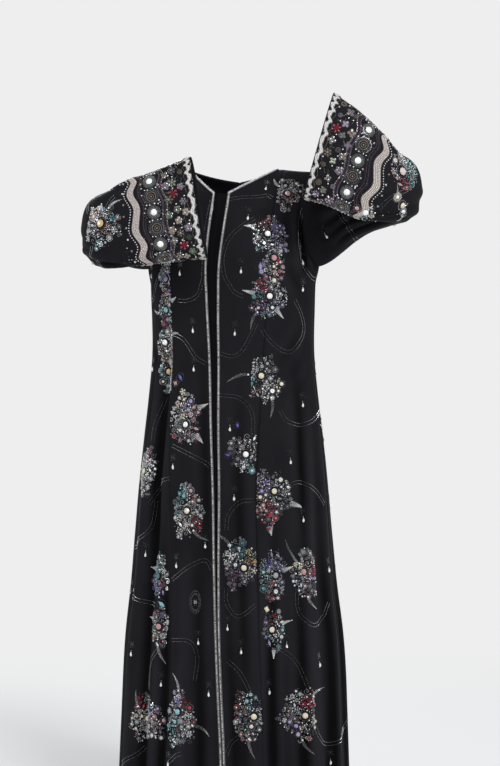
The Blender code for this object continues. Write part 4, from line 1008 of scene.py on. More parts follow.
def rosette(radius, petal, heart, petals):
    """A flower: pointed petals on a circle, studs between them and a stone in the middle."""
    return np.vstack([
        ring(radius * 0.64, petals, "navette", radius * 0.26, radius * 0.38, petal, high=0.0014),
        ring(radius * 0.84, petals, "metal", 0.0008, colour="silver", start=0.5),
        beads("stone", 0, 0, radius * 0.27, high=0.0024, colour=heart)])


def button(radius, fill, edge="silver", heart=None):
    """A round button: a ring of studs, seed rings filled inward, and a stone or a larger bead on top."""
    rows = [ring(radius * 0.92, around(radius * 0.92, 0.0020), "metal", 0.0010, colour=edge)]
    inner = radius * 0.92 - 0.0022
    while inner > 0.0012:
        rows.append(ring(inner, around(inner, 0.0023), "seed", 0.0011, colour=fill,
                         start=0.5 * (len(rows) % 2)))
        inner -= 0.0022
    rows.append(beads("stone", 0, 0, radius * 0.34, high=0.0024, lift=0.0004, colour=heart)
                if heart else beads("seed", 0, 0, 0.0012, colour=edge))
    return np.vstack(rows)


def hoop(radius, heart, rim="silver"):
    """An open ring of studs round a single stone."""
    return np.vstack([ring(radius * 0.85, around(radius * 0.85, 0.0020), "metal", 0.0010, colour=rim),
                      beads("stone", 0, 0, radius * 0.40, high=0.0016, colour=heart)])


def set_stone(radius, colour, rim="silver"):
    """A large cut stone in a close ring of studs and a loose outer one."""
    return np.vstack([beads("stone", 0, 0, radius * 0.56, high=radius * 0.42, colour=colour),
                      ring(radius * 0.74, around(radius * 0.74, 0.0021), "metal", 0.0009, colour="pewter"),
                      ring(radius * 0.96, around(radius * 0.96, 0.0023), "metal", 0.0010, colour=rim)])


def scroll(size, turns, tail, colour="silver"):
    """A curl: studs along a spiral whose radius grows evenly with its turn, and a bent tail."""
    turn = np.linspace(0.6, turns * 2 * math.pi, 160)
    radius = size * turn / turn[-1]
    x, y = radius * np.cos(turn), radius * np.sin(turn)
    end = np.linspace(0, tail * size, 30)[1:]
    way = np.array([-math.sin(turn[-1]), math.cos(turn[-1])])
    bend = 0.25 * end ** 2 / size
    x = np.append(x, x[-1] + way[0] * end + way[1] * bend)
    y = np.append(y, y[-1] + way[1] * end - way[0] * bend)
    run = np.concatenate([[0], np.cumsum(np.hypot(np.diff(x), np.diff(y)))])
    bead = 0.0010
    at = np.arange(0, run[-1], bead * 1.75)
    return beads("metal", np.interp(at, run, x), np.interp(at, run, y), bead, colour=colour)


def fan(length, wide, fill):
    """A pointed arm: rays of short beads that close in to a point, and a small pearl on its tip."""
    rows = []
    for k in np.linspace(-1, 1, 6):
        at = np.arange(0.0, length * (1 - 0.10 * abs(k)), 0.0026)
        half = wide * (1 - at / length) ** 0.85
        if abs(k) > 0.99:
            rows.append(beads("metal", k * half, at, 0.0008, 0.0008, 0.0011, k * 0.3, "silver"))
        else:
            rows.append(beads("bar", k * half, at, 0.00075, 0.0012, 0.0011, k * 0.3,
                              fill[int((k + 1) * 7) % len(fill)]))
    rows.append(beads("pearl", 0, length + 0.0006, 0.0010))
    return np.vstack(rows)


def horn(length):
    """A crescent: rows of studs that swell from a pearl at the root and taper along a bending tail."""
    rows = [beads("pearl", 0, 0, 0.0022, high=0.0024)]
    at = np.arange(0.003, length, 0.0019)
    share = at / length
    bend = 0.50 * length * share ** 2
    half = 0.0026 * np.sin(math.pi * np.clip(0.18 + 0.82 * share, 0, 1)) ** 0.9
    for k in (-1, 0, 1):
        keep = (half > 0.0008) | (k == 0)
        rows.append(beads("metal", (bend + k * half)[keep], at[keep], 0.0010,
                          colour="silver" if k else "white"))
    return np.vstack(rows)


def star_drop():
    """A star of dotted rays above a drop-shaped stone."""
    rows = [beads("metal", 0, 0.0, 0.0008, colour="silver")]
    for k in range(8):
        turn = k * math.pi / 4 + 0.2
        at = np.array([0.0030, 0.0056, 0.0082])[:3 if k % 2 else 2]
        rows.append(beads("metal", at * math.cos(turn), at * math.sin(turn), 0.00068, colour="grey"))
    rows.append(beads("seed", 0, -0.0132, 0.0009, colour="silver"))
    rows.append(beads("drop", 0, -0.0205, 0.0029, 0.0057, 0.0032))
    return np.vstack(rows)


def free_place(placed, size, gap, tries, draw):
    """Draw places until one circle keeps clear of those placed, and add it; return None if none does."""
    for _ in range(tries):
        x, y, *more = draw()
        if all(math.hypot(x - a, y - b) > gap * (size + r) for a, b, r in placed):
            placed.append((x, y, size))
            return x, y, *more


def cluster(seed, half_width, half_height, palette, heart, arms, bold, own):
    """A ragged patch of beading.  Its rim is an ellipse swelled and drawn in by three waves round it.
    Motifs that don't overlap are packed inside, larger ones first, and each side of the patch keeps to its
    own colour.  Specks fill what is left.  Return these rows, and those of the arms, horns and curls that
    leave the rim: as many as arms says, or the kinds, angles in degrees and sizes that it lists."""
    rng = np.random.default_rng(seed)
    phase = rng.uniform(0, 2 * math.pi, 3)
    sides = int(rng.integers(5, 9))
    tones = [str(name) for name in rng.permutation(palette.split())]

    def reach(turn):
        return 0.90 * (1 + 0.11 * np.sin(3 * turn + phase[0]) + 0.08 * np.sin(5 * turn + phase[1])
                       + 0.06 * np.sin(9 * turn + phase[2]))

    def side_tone(turn):
        return tones[int((turn + phase[0]) / (2 * math.pi) * sides) % len(tones)]

    def draw():
        turn = rng.uniform(0, 2 * math.pi)
        share = math.sqrt(rng.uniform()) * reach(turn) if rows else 0.30 * rng.uniform()
        return share * half_width * math.cos(turn), share * half_height * math.sin(turn), turn

    area = math.pi * half_width * half_height * 0.80 / bold ** 2
    sizes = [0.0104]
    for size, least, each in ((0.0074, 1, 0.0011), (0.0057, 2, 0.00048), (0.0043, 3, 0.00024),
                              (0.0031, 4, 0.00015)):
        sizes += [size] * max(least, round(area / each))
    quiet = "silver grey mauve pewter silver smoke"
    placed, rows = [], []
    for size in sizes:
        size *= bold
        place = free_place(placed, size, 1.0, 60, draw)
        if place is None:
            continue
        x, y, turn = place
        one = side_tone(turn) if rng.uniform() < own else pick(rng, quiet)
        two = pick(rng, palette if rng.uniform() < 0.5 else "cream silver smoke")
        rim = pick(rng, "silver silver white grey")
        kind = rng.integers(0, 9)
        if not rows:
            made = set_stone(size, heart)
        elif size < 0.0035 * bold:
            made = (hoop(size, one, rim) if kind < 5 else
                    beads("stone", 0, 0, size * 0.6, high=0.0018, colour=one))
        elif kind in (0, 5):
            made = rosette(size, one, two, int(rng.integers(5, 7)))
        elif kind == 1:
            made = button(size, one, rim, two if size > 0.005 else None)
        elif kind in (2, 7):
            made = np.vstack([beads("disc", 0, 0, size * 0.62, high=0.0012, colour=one),
                              ring(size * 0.82, around(size * 0.82, 0.0021), "metal", 0.0010, colour=rim),
                              beads("seed", 0, 0, 0.0014, high=0.0018, lift=0.0010, colour=two)])
        elif kind in (3, 6):
            made = scroll(size * 0.85, 1.4, 0.5, rim)
        elif kind == 4:
            made = set_stone(size, one, rim)
        else:
            made = np.vstack([beads("navette", 0, 0, size * 0.40, size * 0.9, 0.0018, colour=one),
                              ring(size * 0.85, 8, "metal", 0.0008, colour=rim)])
        rows.append(moved(made, x, y, rng.uniform(0, 2 * math.pi)))
    pitch, stray = 0.0031, 0.0009
    gx, gy = np.meshgrid(*(np.arange(-half, half, pitch) for half in (half_width, half_height)))
    gx = (gx + (np.arange(len(gx)) % 2)[:, None] * pitch / 2).ravel() + rng.uniform(-stray, stray, gx.size)
    gy = gy.ravel() + rng.uniform(-stray, stray, gy.size)
    turn = np.arctan2(gy / half_height, gx / half_width)
    away = np.hypot(gx / half_width, gy / half_height) / reach(turn)
    keep = (away < rng.uniform(0.70, 1.15, gx.size)) & (rng.uniform(size=gx.size) < 0.78)
    for x, y, size in placed:
        keep &= np.hypot(gx - x, gy - y) > size * 0.98
    gx, gy, turn = gx[keep], gy[keep], turn[keep]
    near = np.array([COLOUR[side_tone(t)] for t in turn], dtype=int)
    any_tone = np.array([COLOUR[str(name)] for name in rng.choice(quiet.split(), gx.size)], dtype=int)
    tone = np.where(rng.uniform(size=gx.size) < own - 0.12, near, any_tone)
    chance = rng.uniform(size=gx.size)
    for shape, low, high, wide, long, colour in (("seed", 0, 0.50, 0.0012, 0.0012, None),
                                                 ("metal", 0.50, 0.72, 0.0010, 0.0010, "silver"),
                                                 ("pearl", 0.72, 0.83, 0.0014, 0.0014, "white"),
                                                 ("bar", 0.83, 1.0, 0.0008, 0.0008 * 2.2, None)):
        mask = (chance >= low) & (chance < high)
        rows.append(beads(shape, gx[mask], gy[mask], wide, long, None, rng.uniform(0, 3.1, mask.sum()),
                          colour or tone[mask]))
    start = rng.uniform(0, 2 * math.pi)
    size = math.sqrt(half_width * half_height) / 0.046
    if isinstance(arms, int):
        kinds, apart = ("horn", "fan", "curl", "horn", "curl"), 2 * math.pi / arms
        arms = [(kinds[(k + seed) % 5], math.degrees(start + (k + rng.uniform(-0.28, 0.28)) * apart),
                 rng.uniform(0.75, 1.05) * size) for k in range(arms)]
    tails = [beads("seed", 0, 0, 0.0012)]
    for kind, angle, *long in arms:
        turn = math.radians(angle)
        edge = float(reach(turn)) * 0.94
        x, y = half_width * edge * math.cos(turn), half_height * edge * math.sin(turn)
        away = math.atan2(y / half_height, x / half_width) - math.pi / 2
        if kind == "fan":
            made = fan(0.021 * long[0], 0.0070 * size, [side_tone(turn), pick(rng, palette), "silver"])
        elif kind == "curl":
            made = scroll(0.0042, 1.3, 1.4)
        else:
            made = horn(0.040 * long[0])
            made[:, 1] *= -1 if kind == "hook" else 1
        tails.append(moved(made, x, y, away + rng.uniform(-0.2, 0.2)))
    return np.vstack(rows), np.vstack(tails)


def lattice_oval(half_width, half_height):
    """An oval medallion of studs: three ovals one inside another, and crossing waves between them."""
    rows = []
    for count, share, wave in ((46, 1.0, 0), (30, 0.66, 0), (14, 0.30, 0), (64, 0.83, -0.12),
                               (64, 0.83, 0.12)):
        turn = np.arange(count) * 2 * math.pi / count
        share = share + wave * np.sin(8 * turn)
        wide, colour = (0.0007, "silver") if wave else (0.0009, "grey")
        rows.append(beads("metal", half_width * share * np.cos(turn), half_height * share * np.sin(turn),
                          wide, colour=colour))
    rows.append(ring(0.0026, 6, "navette", 0.0010, 0.0018))
    return np.vstack(rows)


def spray(seed, wide, palette):
    """Loose motifs along a bent line, large ones first in the middle, with pearls, specks and horns."""
    rng = np.random.default_rng(seed)
    largest = 0.0115
    placed = [(0.0, 0.0, largest)]
    rows = [set_stone(largest, "cream")]

    def bent(x):
        return 0.42 * wide * math.sin(2.4 * x / wide + 0.6)

    def draw():
        x = rng.uniform(-1, 1) * wide
        return x, bent(x) + rng.uniform(-0.30, 0.30) * wide

    for size in (largest, 0.0110, 0.0105, 0.0100, 0.0092, 0.0084, 0.0076, 0.0066, 0.0058, 0.0050, 0.0046,
                 0.0042, 0.0038, 0.0034, 0.0034, 0.0030):
        place = free_place(placed, size, 1.04, 80, draw)
        if place is None:
            continue
        one, two = pick(rng, palette), pick(rng, palette)
        kind = rng.integers(0, 5)
        made = (rosette(size, one, two, 6) if kind == 0 else button(size, one, heart=two) if kind == 1
                else set_stone(size, one) if kind == 2 else hoop(size, one) if kind == 3
                else button(size, one, "grey"))
        rows.append(moved(made, *place, rng.uniform(0, 6)))
    for _ in range(150):
        x = rng.uniform(-1.1, 1.1) * wide
        y = bent(x) + rng.normal() * 0.17 * wide
        if all(math.hypot(x - a, y - b) > r + 0.0008 for a, b, r in placed):
            rows.append(beads(str(rng.choice(["seed", "metal", "pearl"], p=[0.5, 0.35, 0.15])), x, y,
                              rng.uniform(0.0007, 0.0014), colour=pick(rng, palette)))
    for side in (-1, 1):
        x = side * wide * 0.92
        rows.append(moved(horn(0.026), x, bent(x), -side * math.pi / 2 + 0.3))
    return np.vstack(rows)


# Body columns where motifs and bead lines may start, clear of the front trim.
MOTIFS_FROM, LINES_FROM = 0.42, 0.36


class Bag:
    """Bead rows laid on the cloth, gathered for one joined mesh."""

    def __init__(self, name):
        self.name = name
        self.points, self.faces, self.tints, self.index = [], [], [], []
        self.count = 0

    def add(self, points, faces, colours, index):
        """Gather points with their colours, and triangles that take one material."""
        self.points.append(points)
        self.faces.append(faces + self.count)
        self.tints.append(with_alpha(colours))
        self.index.append(np.full(len(faces), index))
        self.count += len(points)

    def set_beads(self, rows, point, right, up, normal):
        """Copy each bead's shape to its point, turned on the cloth's own directions there."""
        c, s = np.cos(rows[:, 3])[:, None], np.sin(rows[:, 3])[:, None]
        ways = right * c + up * s, up * c - right * s, normal
        point = point + normal * rows[:, 7:8]
        for number, (shape, faces, index) in enumerate(SHAPES.values()):
            some = rows[:, 0] == number
            if some.any():
                where = point[some][:, None]
                for k, way in enumerate(ways):
                    where = where + shape[None, :, k:k + 1] * (way[some] * rows[some, 4 + k:5 + k])[:, None]
                first = np.arange(len(where))[:, None, None] * len(shape)
                self.add(where.reshape(-1, 3), (faces + first).reshape(-1, 3),
                         np.repeat(TINTS[rows[some, 8].astype(int)], len(shape), axis=0), index)

    def sew(self, surface, column, row, rows, turn=0.0, cut=0.0):
        """Lay a motif's rows on the cloth round one place, cut off along a column if one is given."""
        rows = moved(rows, turn=turn)
        columns, lines = surface.spread(float(column), float(row), rows[:, 1], rows[:, 2])
        keep = (lines > 0.02) & (lines < surface.last_row - 0.02)
        if not surface.wrap:
            keep &= (columns > MOTIFS_FROM) & ((columns - abs(cut)) * np.sign(cut) >= 0)
        self.set_beads(rows[keep], *surface.frame(columns[keep], lines[keep])[:4])

    def run(self, surface, columns, lines, pitch, make, offset=0.0):
        """Set beads along a line on the cloth: make(count) gives rows, each shifted sideways by y."""
        step = lengths_along(surface.read(columns, lines)[0])
        count = max(2, round(step[-1] / pitch))
        at = (np.arange(count) + 0.5) / count * step[-1]
        c, r = np.interp(at, step, columns), np.interp(at, step, lines)
        rows = make(count)
        ahead, behind = (surface.read(*(np.interp(at + way, step, run) for run in (columns, lines)))[0]
                         for way in (0.001, -0.001))
        _, right, up, _, _ = surface.frame(c, r)
        dx, dy = (np.sum((ahead - behind) * side, axis=1) for side in (right, up))
        size = np.maximum(np.hypot(dx, dy), 1e-9)
        dx, dy = dx / size, dy / size
        side = rows[:, 2] + offset
        c, r = surface.spread(c, r, -dy * side, dx * side)
        keep = (r > 0.0) & (r < surface.last_row)
        if not surface.wrap:
            keep &= c > LINES_FROM
        rows[:, 3] += np.arctan2(dy, dx) - math.pi / 2
        self.set_beads(rows[keep], *(field[keep] for field in surface.frame(c, r)[:4]))

    def make(self, materials, **facts):
        """Join everything gathered into one piece."""
        points, faces, tints = map(np.vstack, (self.points, self.faces, self.tints))
        mesh_piece(self.name, points, faces, materials, tints, "beaded_trim", smooth=False,
                   index=np.concatenate(self.index), **facts)


def smooth_line(places):
    """Return a curve of columns and rows through places: Catmull-Rom between each pair, then evened out."""
    places = np.asarray(places, float)
    ends = np.vstack([2 * places[0] - places[1], places, 2 * places[-1] - places[-2]])
    t = np.linspace(0, len(places) - 1, 240)
    k = np.minimum(t.astype(int), len(places) - 2)
    t = (t - k)[:, None]
    a, b, c, d = (ends[k + n] for n in range(4))
    out = 0.5 * (2 * b + (c - a) * t + (2 * a - 5 * b + 4 * c - d) * t ** 2
                 + (3 * b - a - 3 * c + d) * t ** 3)
    half = 20
    window = np.ones(2 * half + 1) / (2 * half + 1)
    out = np.pad(out, ((half, half), (0, 0)), mode="reflect", reflect_type="odd")
    return [np.convolve(line, window, "valid") for line in out.T]


# ---- where the beading lies
PALETTES = {
    "frost": "silver white aqua smoke cream grey rose",
    "meadow": "silver teal lilac red grey aqua plum",
    "berry": "red plum silver lilac cream rose pewter",
    "dusk": "lilac violet teal silver lilac aqua red",
    "ember": "red amber silver teal mauve plum pewter",
    "garnet": "red teal silver grey aqua blush rose",
}
# Clusters.  Columns: column, row, half width, half height, palette, heart, seed, arms (their number, or
# kinds, angles and sizes), and the column of a straight cut along a seam (+ keeps what lies past it, - what
# lies before it, 0 is none).
CLUSTERS = {
    "body_left": (
        (5.9, 21.2, 0.045, 0.043, "dusk", "white", 1, (("fan", 168, 1.0), ("curl", 40)), 0),
        (6.5, 19.4, 0.027, 0.046, "berry", "rose", 39, (("curl", 175), ("curl", 10)), 0),
        (6.1, 17.6, 0.042, 0.050, "meadow", "white", 2,
         (("fan", 172, 1.2), ("fan", -48, 1.2), ("hook", -125, 0.9), ("curl", 20), ("curl", -80)), 0),
        (7.6, 24.5, 0.028, 0.044, "berry", "rose", 3, 3, 0),
        (6.1, 14.8, 0.044, 0.052, "frost", "cream", 6,
         (("hook", 165, 1.15), ("horn", -58, 1.0), ("curl", 90)), 4.6),
        (4.2, 12.4, 0.036, 0.044, "frost", "white", 10, (("curl", 150),), -5.97),
        (6.9, 10.9, 0.048, 0.062, "berry", "cream", 11,
         (("fan", -14, 1.6), ("curl", 30), ("fan", -92, 0.8)), 6.03),
        (3.5, 8.7, 0.040, 0.056, "ember", "cream", 12, (("hook", 128, 1.1), ("curl", -110)), -5.97),
        (6.9, 8.3, 0.032, 0.058, "dusk", "grey", 13, (("fan", 12, 0.9), ("curl", 60)), 6.03),
        (6.9, 6.5, 0.026, 0.046, "meadow", "cream", 14, (("fan", 20, 0.9), ("fan", -95, 0.8)), 6.03),
        (9.3, 8.3, 0.040, 0.058, "berry", "rose", 15,
         (("horn", 138, 1.35), ("hook", -85, 0.8), ("curl", 60)), 0),
        (4.4, 3.7, 0.040, 0.056, "garnet", "cream", 20, (("hook", -96, 1.0), ("curl", 170)), -5.97),
        (8.3, 3.7, 0.046, 0.060, "berry", "cream", 21,
         (("hook", -88, 0.9), ("horn", 42, 0.8), ("curl", 165)), 0),
    ),
    "body_right": (
        (7.0, 18.7, 0.022, 0.052, "dusk", "lilac", 4, 1, 6.05),
        (7.2, 17.2, 0.024, 0.044, "meadow", "aqua", 5, 2, 6.05),
        (7.5, 16.0, 0.028, 0.040, "frost", "white", 40, 2, 6.05),
        (7.0, 15.0, 0.026, 0.040, "meadow", "amber", 41, 2, 6.05),
        (3.9, 13.5, 0.044, 0.060, "berry", "white", 7,
         (("fan", 25, 1.1), ("fan", -42, 1.0), ("curl", 80)), -5.97),
        (3.5, 10.4, 0.039, 0.062, "garnet", "cream", 8, (("hook", -62, 0.9), ("curl", 100)), -5.97),
        (9.2, 11.7, 0.042, 0.056, "frost", "cream", 9, (("curl", -95), ("curl", 80)), 0),
        (7.1, 8.2, 0.028, 0.052, "dusk", "teal", 16, 2, 6.05),
        (6.9, 6.5, 0.026, 0.044, "ember", "rose", 17, (("fan", 160, 0.8), ("hook", -90, 1.0)), 6.05),
        (7.6, 3.35, 0.054, 0.054, "berry", "cream", 18, (("horn", 140, 0.8), ("curl", -120)), 6.05),
        (4.4, 3.5, 0.036, 0.064, "meadow", "aqua", 19,
         (("hook", 95, 0.9), ("horn", -12, 1.0), ("curl", -80)), -5.97),
    ),
    "sleeve_right": (
        (17.9, 12.4, 0.050, 0.054, "garnet", "amber", 34,
         (("horn", -40, 0.8), ("curl", 100), ("fan", -10, 0.7)), 0),
    ),
    "sleeve_left": (
        (16.6, 13.0, 0.044, 0.046, "garnet", "blush", 35, (("curl", 120), ("curl", -60)), 0),
        (21.9, 15.0, 0.016, 0.022, "frost", "white", 36, 2, 0),
    ),
}
BACK_FROM = 13      # body columns past this one are sewn with the back's beads
# Places of the clusters on the sides and the back, each with a double line arching over it and two drops.
BEHIND = {
    "body_left": ((17.9, 13.2), (19.6, 4.6), (22.6, 10.2), (26.6, 4.0), (18.6, 8.6), (25.4, 20.9),
                  (27.2, 14.6)),
    "body_right": ((17.4, 12.4), (27.4, 8.4), (21.9, 4.2), (22.9, 12.9), (16.2, 5.6), (22.8, 17.6),
                   (27.6, 2.9)),
}
# Loose sprays over the elbows.  Columns: surface, column, row, half width, palette, turn.
ELBOWS = (
    ("sleeve_left", 20.0, 12.6, 0.022, "frost", 0.4),
    ("sleeve_right", 6.2, 12.4, 0.030, "dusk", -0.7),
    ("sleeve_left", 6.4, 12.8, 0.030, "berry", -0.9),
)
# The red flowers among the sleeves' flowers: line from the cuff and place in it.
REDS = {"left": ((0, 11), (2, 3), (1, 1)), "right": ((1, 11), (1, 15), (0, 4), (2, 2))}
# Large single stones.  Columns: surface, column, row, shape, half width, half length, turn, colour.
ACCENTS = (
    ("body_right", 4.6, 14.9, "navette", 0.0042, 0.0085, 0.5, "violet"),
    ("body_right", 5.3, 14.7, "square", 0.0050, 0.0062, 0.3, "rose"),
    ("body_right", 6.8, 7.25, "navette", 0.0050, 0.0090, 0.9, "aqua"),
    ("body_right", 7.2, 6.95, "square", 0.0046, 0.0050, 0.0, "red"),
    ("body_left", 3.0, 13.3, "navette", 0.0038, 0.0062, 0.3, "violet"),
    ("body_left", 1.6, 12.3, "navette", 0.0036, 0.0060, 1.2, "violet"),
    ("body_left", 6.5, 7.2, "square", 0.0064, 0.0078, 0.5, "cream"),
    ("body_left", 6.9, 10.3, "square", 0.0060, 0.0066, 0.2, "red"),
    ("body_left", 7.2, 19.6, "navette", 0.0046, 0.0078, -0.2, "red"),
    ("body_left", 5.0, 19.2, "navette", 0.0046, 0.0090, 0.1, "lilac"),
)
# Drops with a star above each.  Columns: column and row of the drop, and its turn if it has its own.
DROPS = {
    "body_left": (
        (4.6, 24.95), (3.15, 23.05), (2.85, 19.1), (2.34, 16.4), (12.0, 17.9), (11.2, 14.0), (1.93, 13.2),
        (8.4, 12.1), (2.62, 10.9), (9.6, 10.15), (3.43, 5.84), (7.64, 6.0), (10.7, 5.3), (6.5, 4.5),
        (6.7, 1.5), (1.5, 6.6), (12.6, 22.0), (14.2, 8.4), (12.4, 2.0),
    ),
    "body_right": (
        (4.31, 18.9), (2.49, 16.5), (2.5, 15.2), (5.4, 11.9), (1.29, 9.3), (8.4, 8.9), (5.2, 8.6),
        (8.92, 5.5), (2.38, 6.1), (6.64, 4.6), (1.18, 4.4), (1.56, 1.6), (5.6, 2.0), (3.4, 21.4),
        (6.4, 23.2), (11.8, 15.2), (12.2, 7.6), (11.6, 19.4),
    ),
    "sleeve_left": (
        (3.9, 1.8, -1.5), (4.2, 8.2, -1.3), (20.4, 3.6), (13.8, 4.4), (10.0, 5.4), (8.6, 9.4),
        (22.6, 8.0), (1.6, 11.4),
    ),
    "sleeve_right": (
        (3.6, 3.0), (20.0, 4.2), (14.2, 4.8), (10.2, 6.0), (8.8, 10.2), (22.4, 8.6), (1.4, 12.6),
    ),
}
# Double dotted lines.  Columns and rows that each passes through.
DOUBLE_LINES = {
    "body_left": (
        ((3.95, 22.7), (2.3, 22.5), (1.0, 21.8), (0.55, 20.0), (1.4, 18.0), (3.3, 17.6)),
        ((10.1, 17.5), (12.1, 16.9), (12.3, 16.3), (8.9, 15.7), (6.7, 16.1), (5.7, 16.5)),
        ((0.45, 15.7), (2.2, 15.6), (3.6, 15.9), (5.0, 16.7)),
        ((11.0, 25.6), (10.7, 24.6), (10.6, 23.4), (11.2, 22.2), (12.6, 21.4), (15.0, 21.2)),
        ((0.45, 14.3), (3.2, 14.2), (5.0, 13.7), (5.3, 12.9)),
        ((0.45, 26.0), (1.8, 25.5), (3.6, 24.6), (5.6, 23.9)),
        ((7.7, 13.8), (8.4, 13.4), (10.6, 13.3), (14.7, 13.6), (16.6, 14.4)),
        ((7.8, 11.0), (8.9, 11.4), (12.4, 11.1), (14.2, 10.6)),
        ((1.4, 9.8), (1.7, 10.3), (3.5, 10.75), (5.5, 10.8)),
        ((1.4, 7.9), (1.4, 7.4), (3.1, 6.95), (5.7, 7.35)),
        ((8.5, 7.9), (8.4, 7.2), (9.0, 6.75), (10.4, 6.6), (12.2, 6.8), (13.6, 7.3)),
        ((6.8, 6.0), (7.9, 5.6), (8.5, 5.0), (8.8, 4.5)),
        ((1.4, 5.5), (3.2, 5.1), (4.5, 4.5)),
        ((8.97, 3.5), (9.8, 3.0), (11.2, 2.65), (13.2, 2.6), (15.2, 2.8), (17.0, 3.4)),
        ((0.6, 2.4), (1.4, 2.8), (2.5, 3.0)),
    ),
    "body_right": (
        ((0.45, 26.0), (0.6, 23.0), (0.5, 20.4), (0.8, 18.0), (2.8, 17.5), (4.8, 17.5)),
        ((6.4, 16.4), (4.1, 16.2), (2.3, 15.6), (0.7, 15.35)),
        ((7.4, 14.2), (8.3, 13.3), (8.4, 12.7)),
        ((5.6, 12.6), (3.0, 12.3), (1.1, 12.05), (0.5, 11.9)),
        ((8.3, 10.6), (7.2, 11.3), (5.9, 11.5)),
        ((13.9, 9.0), (10.0, 9.3), (8.2, 9.7), (7.8, 10.7)),
        ((5.9, 8.1), (3.3, 8.6), (1.3, 8.8), (0.5, 8.5)),
        ((5.8, 6.1), (3.4, 6.1), (2.5, 5.6), (2.8, 4.8)),
        ((6.8, 5.8), (7.5, 5.2), (7.7, 4.3)),
        ((12.4, 6.6), (10.4, 7.4), (8.6, 7.3), (7.3, 7.2)),
        ((13.4, 2.0), (10.8, 1.6), (8.6, 2.0), (7.8, 2.4)),
        ((5.7, 2.0), (4.7, 2.3), (4.0, 2.4)),
        ((2.4, 24.2), (3.6, 22.8), (4.2, 20.8), (6.0, 19.8), (7.0, 19.6)),
        ((9.0, 18.6), (11.6, 17.6), (13.8, 17.8), (15.6, 19.0)),
    ),
    "sleeve_left": (
        ((18.2, 12.6), (18.9, 13.4), (19.8, 13.9), (21.0, 14.2)),
        ((5.1, 3.8), (3.4, 4.5), (0.5, 4.5), (-1.6, 3.6)),
        ((14.6, 12.2), (12.6, 11.0), (10.4, 11.2), (8.6, 12.4)),
        ((21.2, 6.2), (19.0, 7.4), (16.6, 7.0), (15.2, 5.2)),
        ((6.4, 7.2), (8.4, 6.0), (10.8, 7.0), (12.2, 6.0)),
    ),
    "sleeve_right": (
        ((15.4, 13.9), (15.8, 13.4), (16.6, 13.1), (17.2, 13.5)),
        ((19.6, 11.4), (21.4, 10.4), (23.4, 10.8), (25.0, 9.6)),
        ((16.2, 11.0), (14.2, 9.6), (11.6, 9.8), (9.6, 11.0)),
        ((21.0, 5.4), (18.8, 6.6), (16.4, 6.2), (15.0, 4.6)),
        ((6.2, 6.4), (8.2, 5.2), (10.6, 6.2), (12.0, 5.2)),
    ),
}


def studs(offset=0.0, size=0.00075, tone="silver", shape="metal", **facts):
    """Return a function that makes as many beads of one kind as it is asked for."""
    return lambda count: beads(shape, np.zeros(count), offset, size, colour=tone, **facts)


def sew_body_and_sleeves(surfaces, bags):
    """Sew the clusters, loose sprays, large single stones, drops, double lines and the oval medallion."""
    def bag_at(name, column):
        return bags[name.replace("body", "back" if column > BACK_FROM else "front")]

    def sew(name, column, row, rows, turn=0.0, cut=0.0):
        bag_at(name, column).sew(surfaces[name], column, row, rows, turn, cut)

    clusters, drops, arches = ({name: list(rows) for name, rows in table.items()}
                               for table in (CLUSTERS, DROPS, DOUBLE_LINES))
    for name, places in BEHIND.items():
        for number, (column, row) in enumerate(places):
            way = 1 if column < BACK_SHOULDER else -1
            seed = 22 + number + 8 * (name == "body_right")
            clusters[name].append((column, row, 0.035, 0.050, list(PALETTES)[seed % 6],
                                   ("cream", "white", "amber", "rose")[number % 4], seed, 4, 0))
            drops[name] += [(column - 2.3 * way, row + 1.9), (column + 1.4 * way, row - 2.3)]
            arches[name].append([(column + dc * way, row + dr) for dc, dr in
                                 ((1.2, 1.1), (1.7, 2.3), (3.0, 2.9), (4.4, 2.1), (4.7, 0.4), (5.6, -0.5))])
    for name, places in clusters.items():
        for column, row, half_width, half_height, palette, heart, seed, arms, cut in places:
            bold, own = (1.5, 0.95) if name.startswith("sleeve") and half_width > 0.03 else (1.12, 0.80)
            rows, tails = cluster(seed, half_width, half_height, PALETTES[palette], heart, arms, bold, own)
            sew(name, column, row, rows, cut=cut)
            sew(name, column, row, tails)
    for number, (name, column, row, wide, palette, turn) in enumerate(ELBOWS):
        sew(name, column, row, spray(70 + number, wide, PALETTES[palette]), turn)
    for name, column, row, shape, wide, long, turn, colour in ACCENTS:
        sew(name, column, row, np.vstack([
            beads(shape, 0, 0, wide, long, 0.0030, colour=colour),
            ring(max(wide, long) + 0.0014, 14, "metal", 0.0008, colour="grey")]), turn)
    for name, places in drops.items():
        hanging = 0.0 if name.startswith("body") else math.pi
        for column, row, *turn in places:
            sew(name, column, row, moved(star_drop(), y=0.0190), *(turn or [hanging]))
    for name, lines in arches.items():
        for places in lines:
            line = smooth_line(places)
            for offset in (-0.0035, 0.0035):
                bag_at(name, line[0].mean()).run(surfaces[name], *line, 0.0025, studs(high=0.0010), offset)
    sew("body_right", 2.7, 7.4, lattice_oval(0.0125, 0.0250))


# ---- trims
def edge_path(surface):
    """Return points and normals up the front edge, along the front neckline and the back one."""
    past = 0.02     # columns past each corner where the neckline's points start
    up = np.linspace(0, TOP_ROW, 400)
    front, back = np.linspace(past, NECK, 60), np.linspace(BACK_NECK + past, CENTRE_BACK, 50)
    columns = np.concatenate([0 * up, front, back])
    rows = np.concatenate([up, np.full(len(front) + len(back), float(TOP_ROW))])
    point, normal, _, _ = surface.read(columns, rows)
    keep = np.append(True, np.diff(lengths_along(point)) > 1e-6)
    return point[keep], normal[keep], lengths_along(point)[keep]


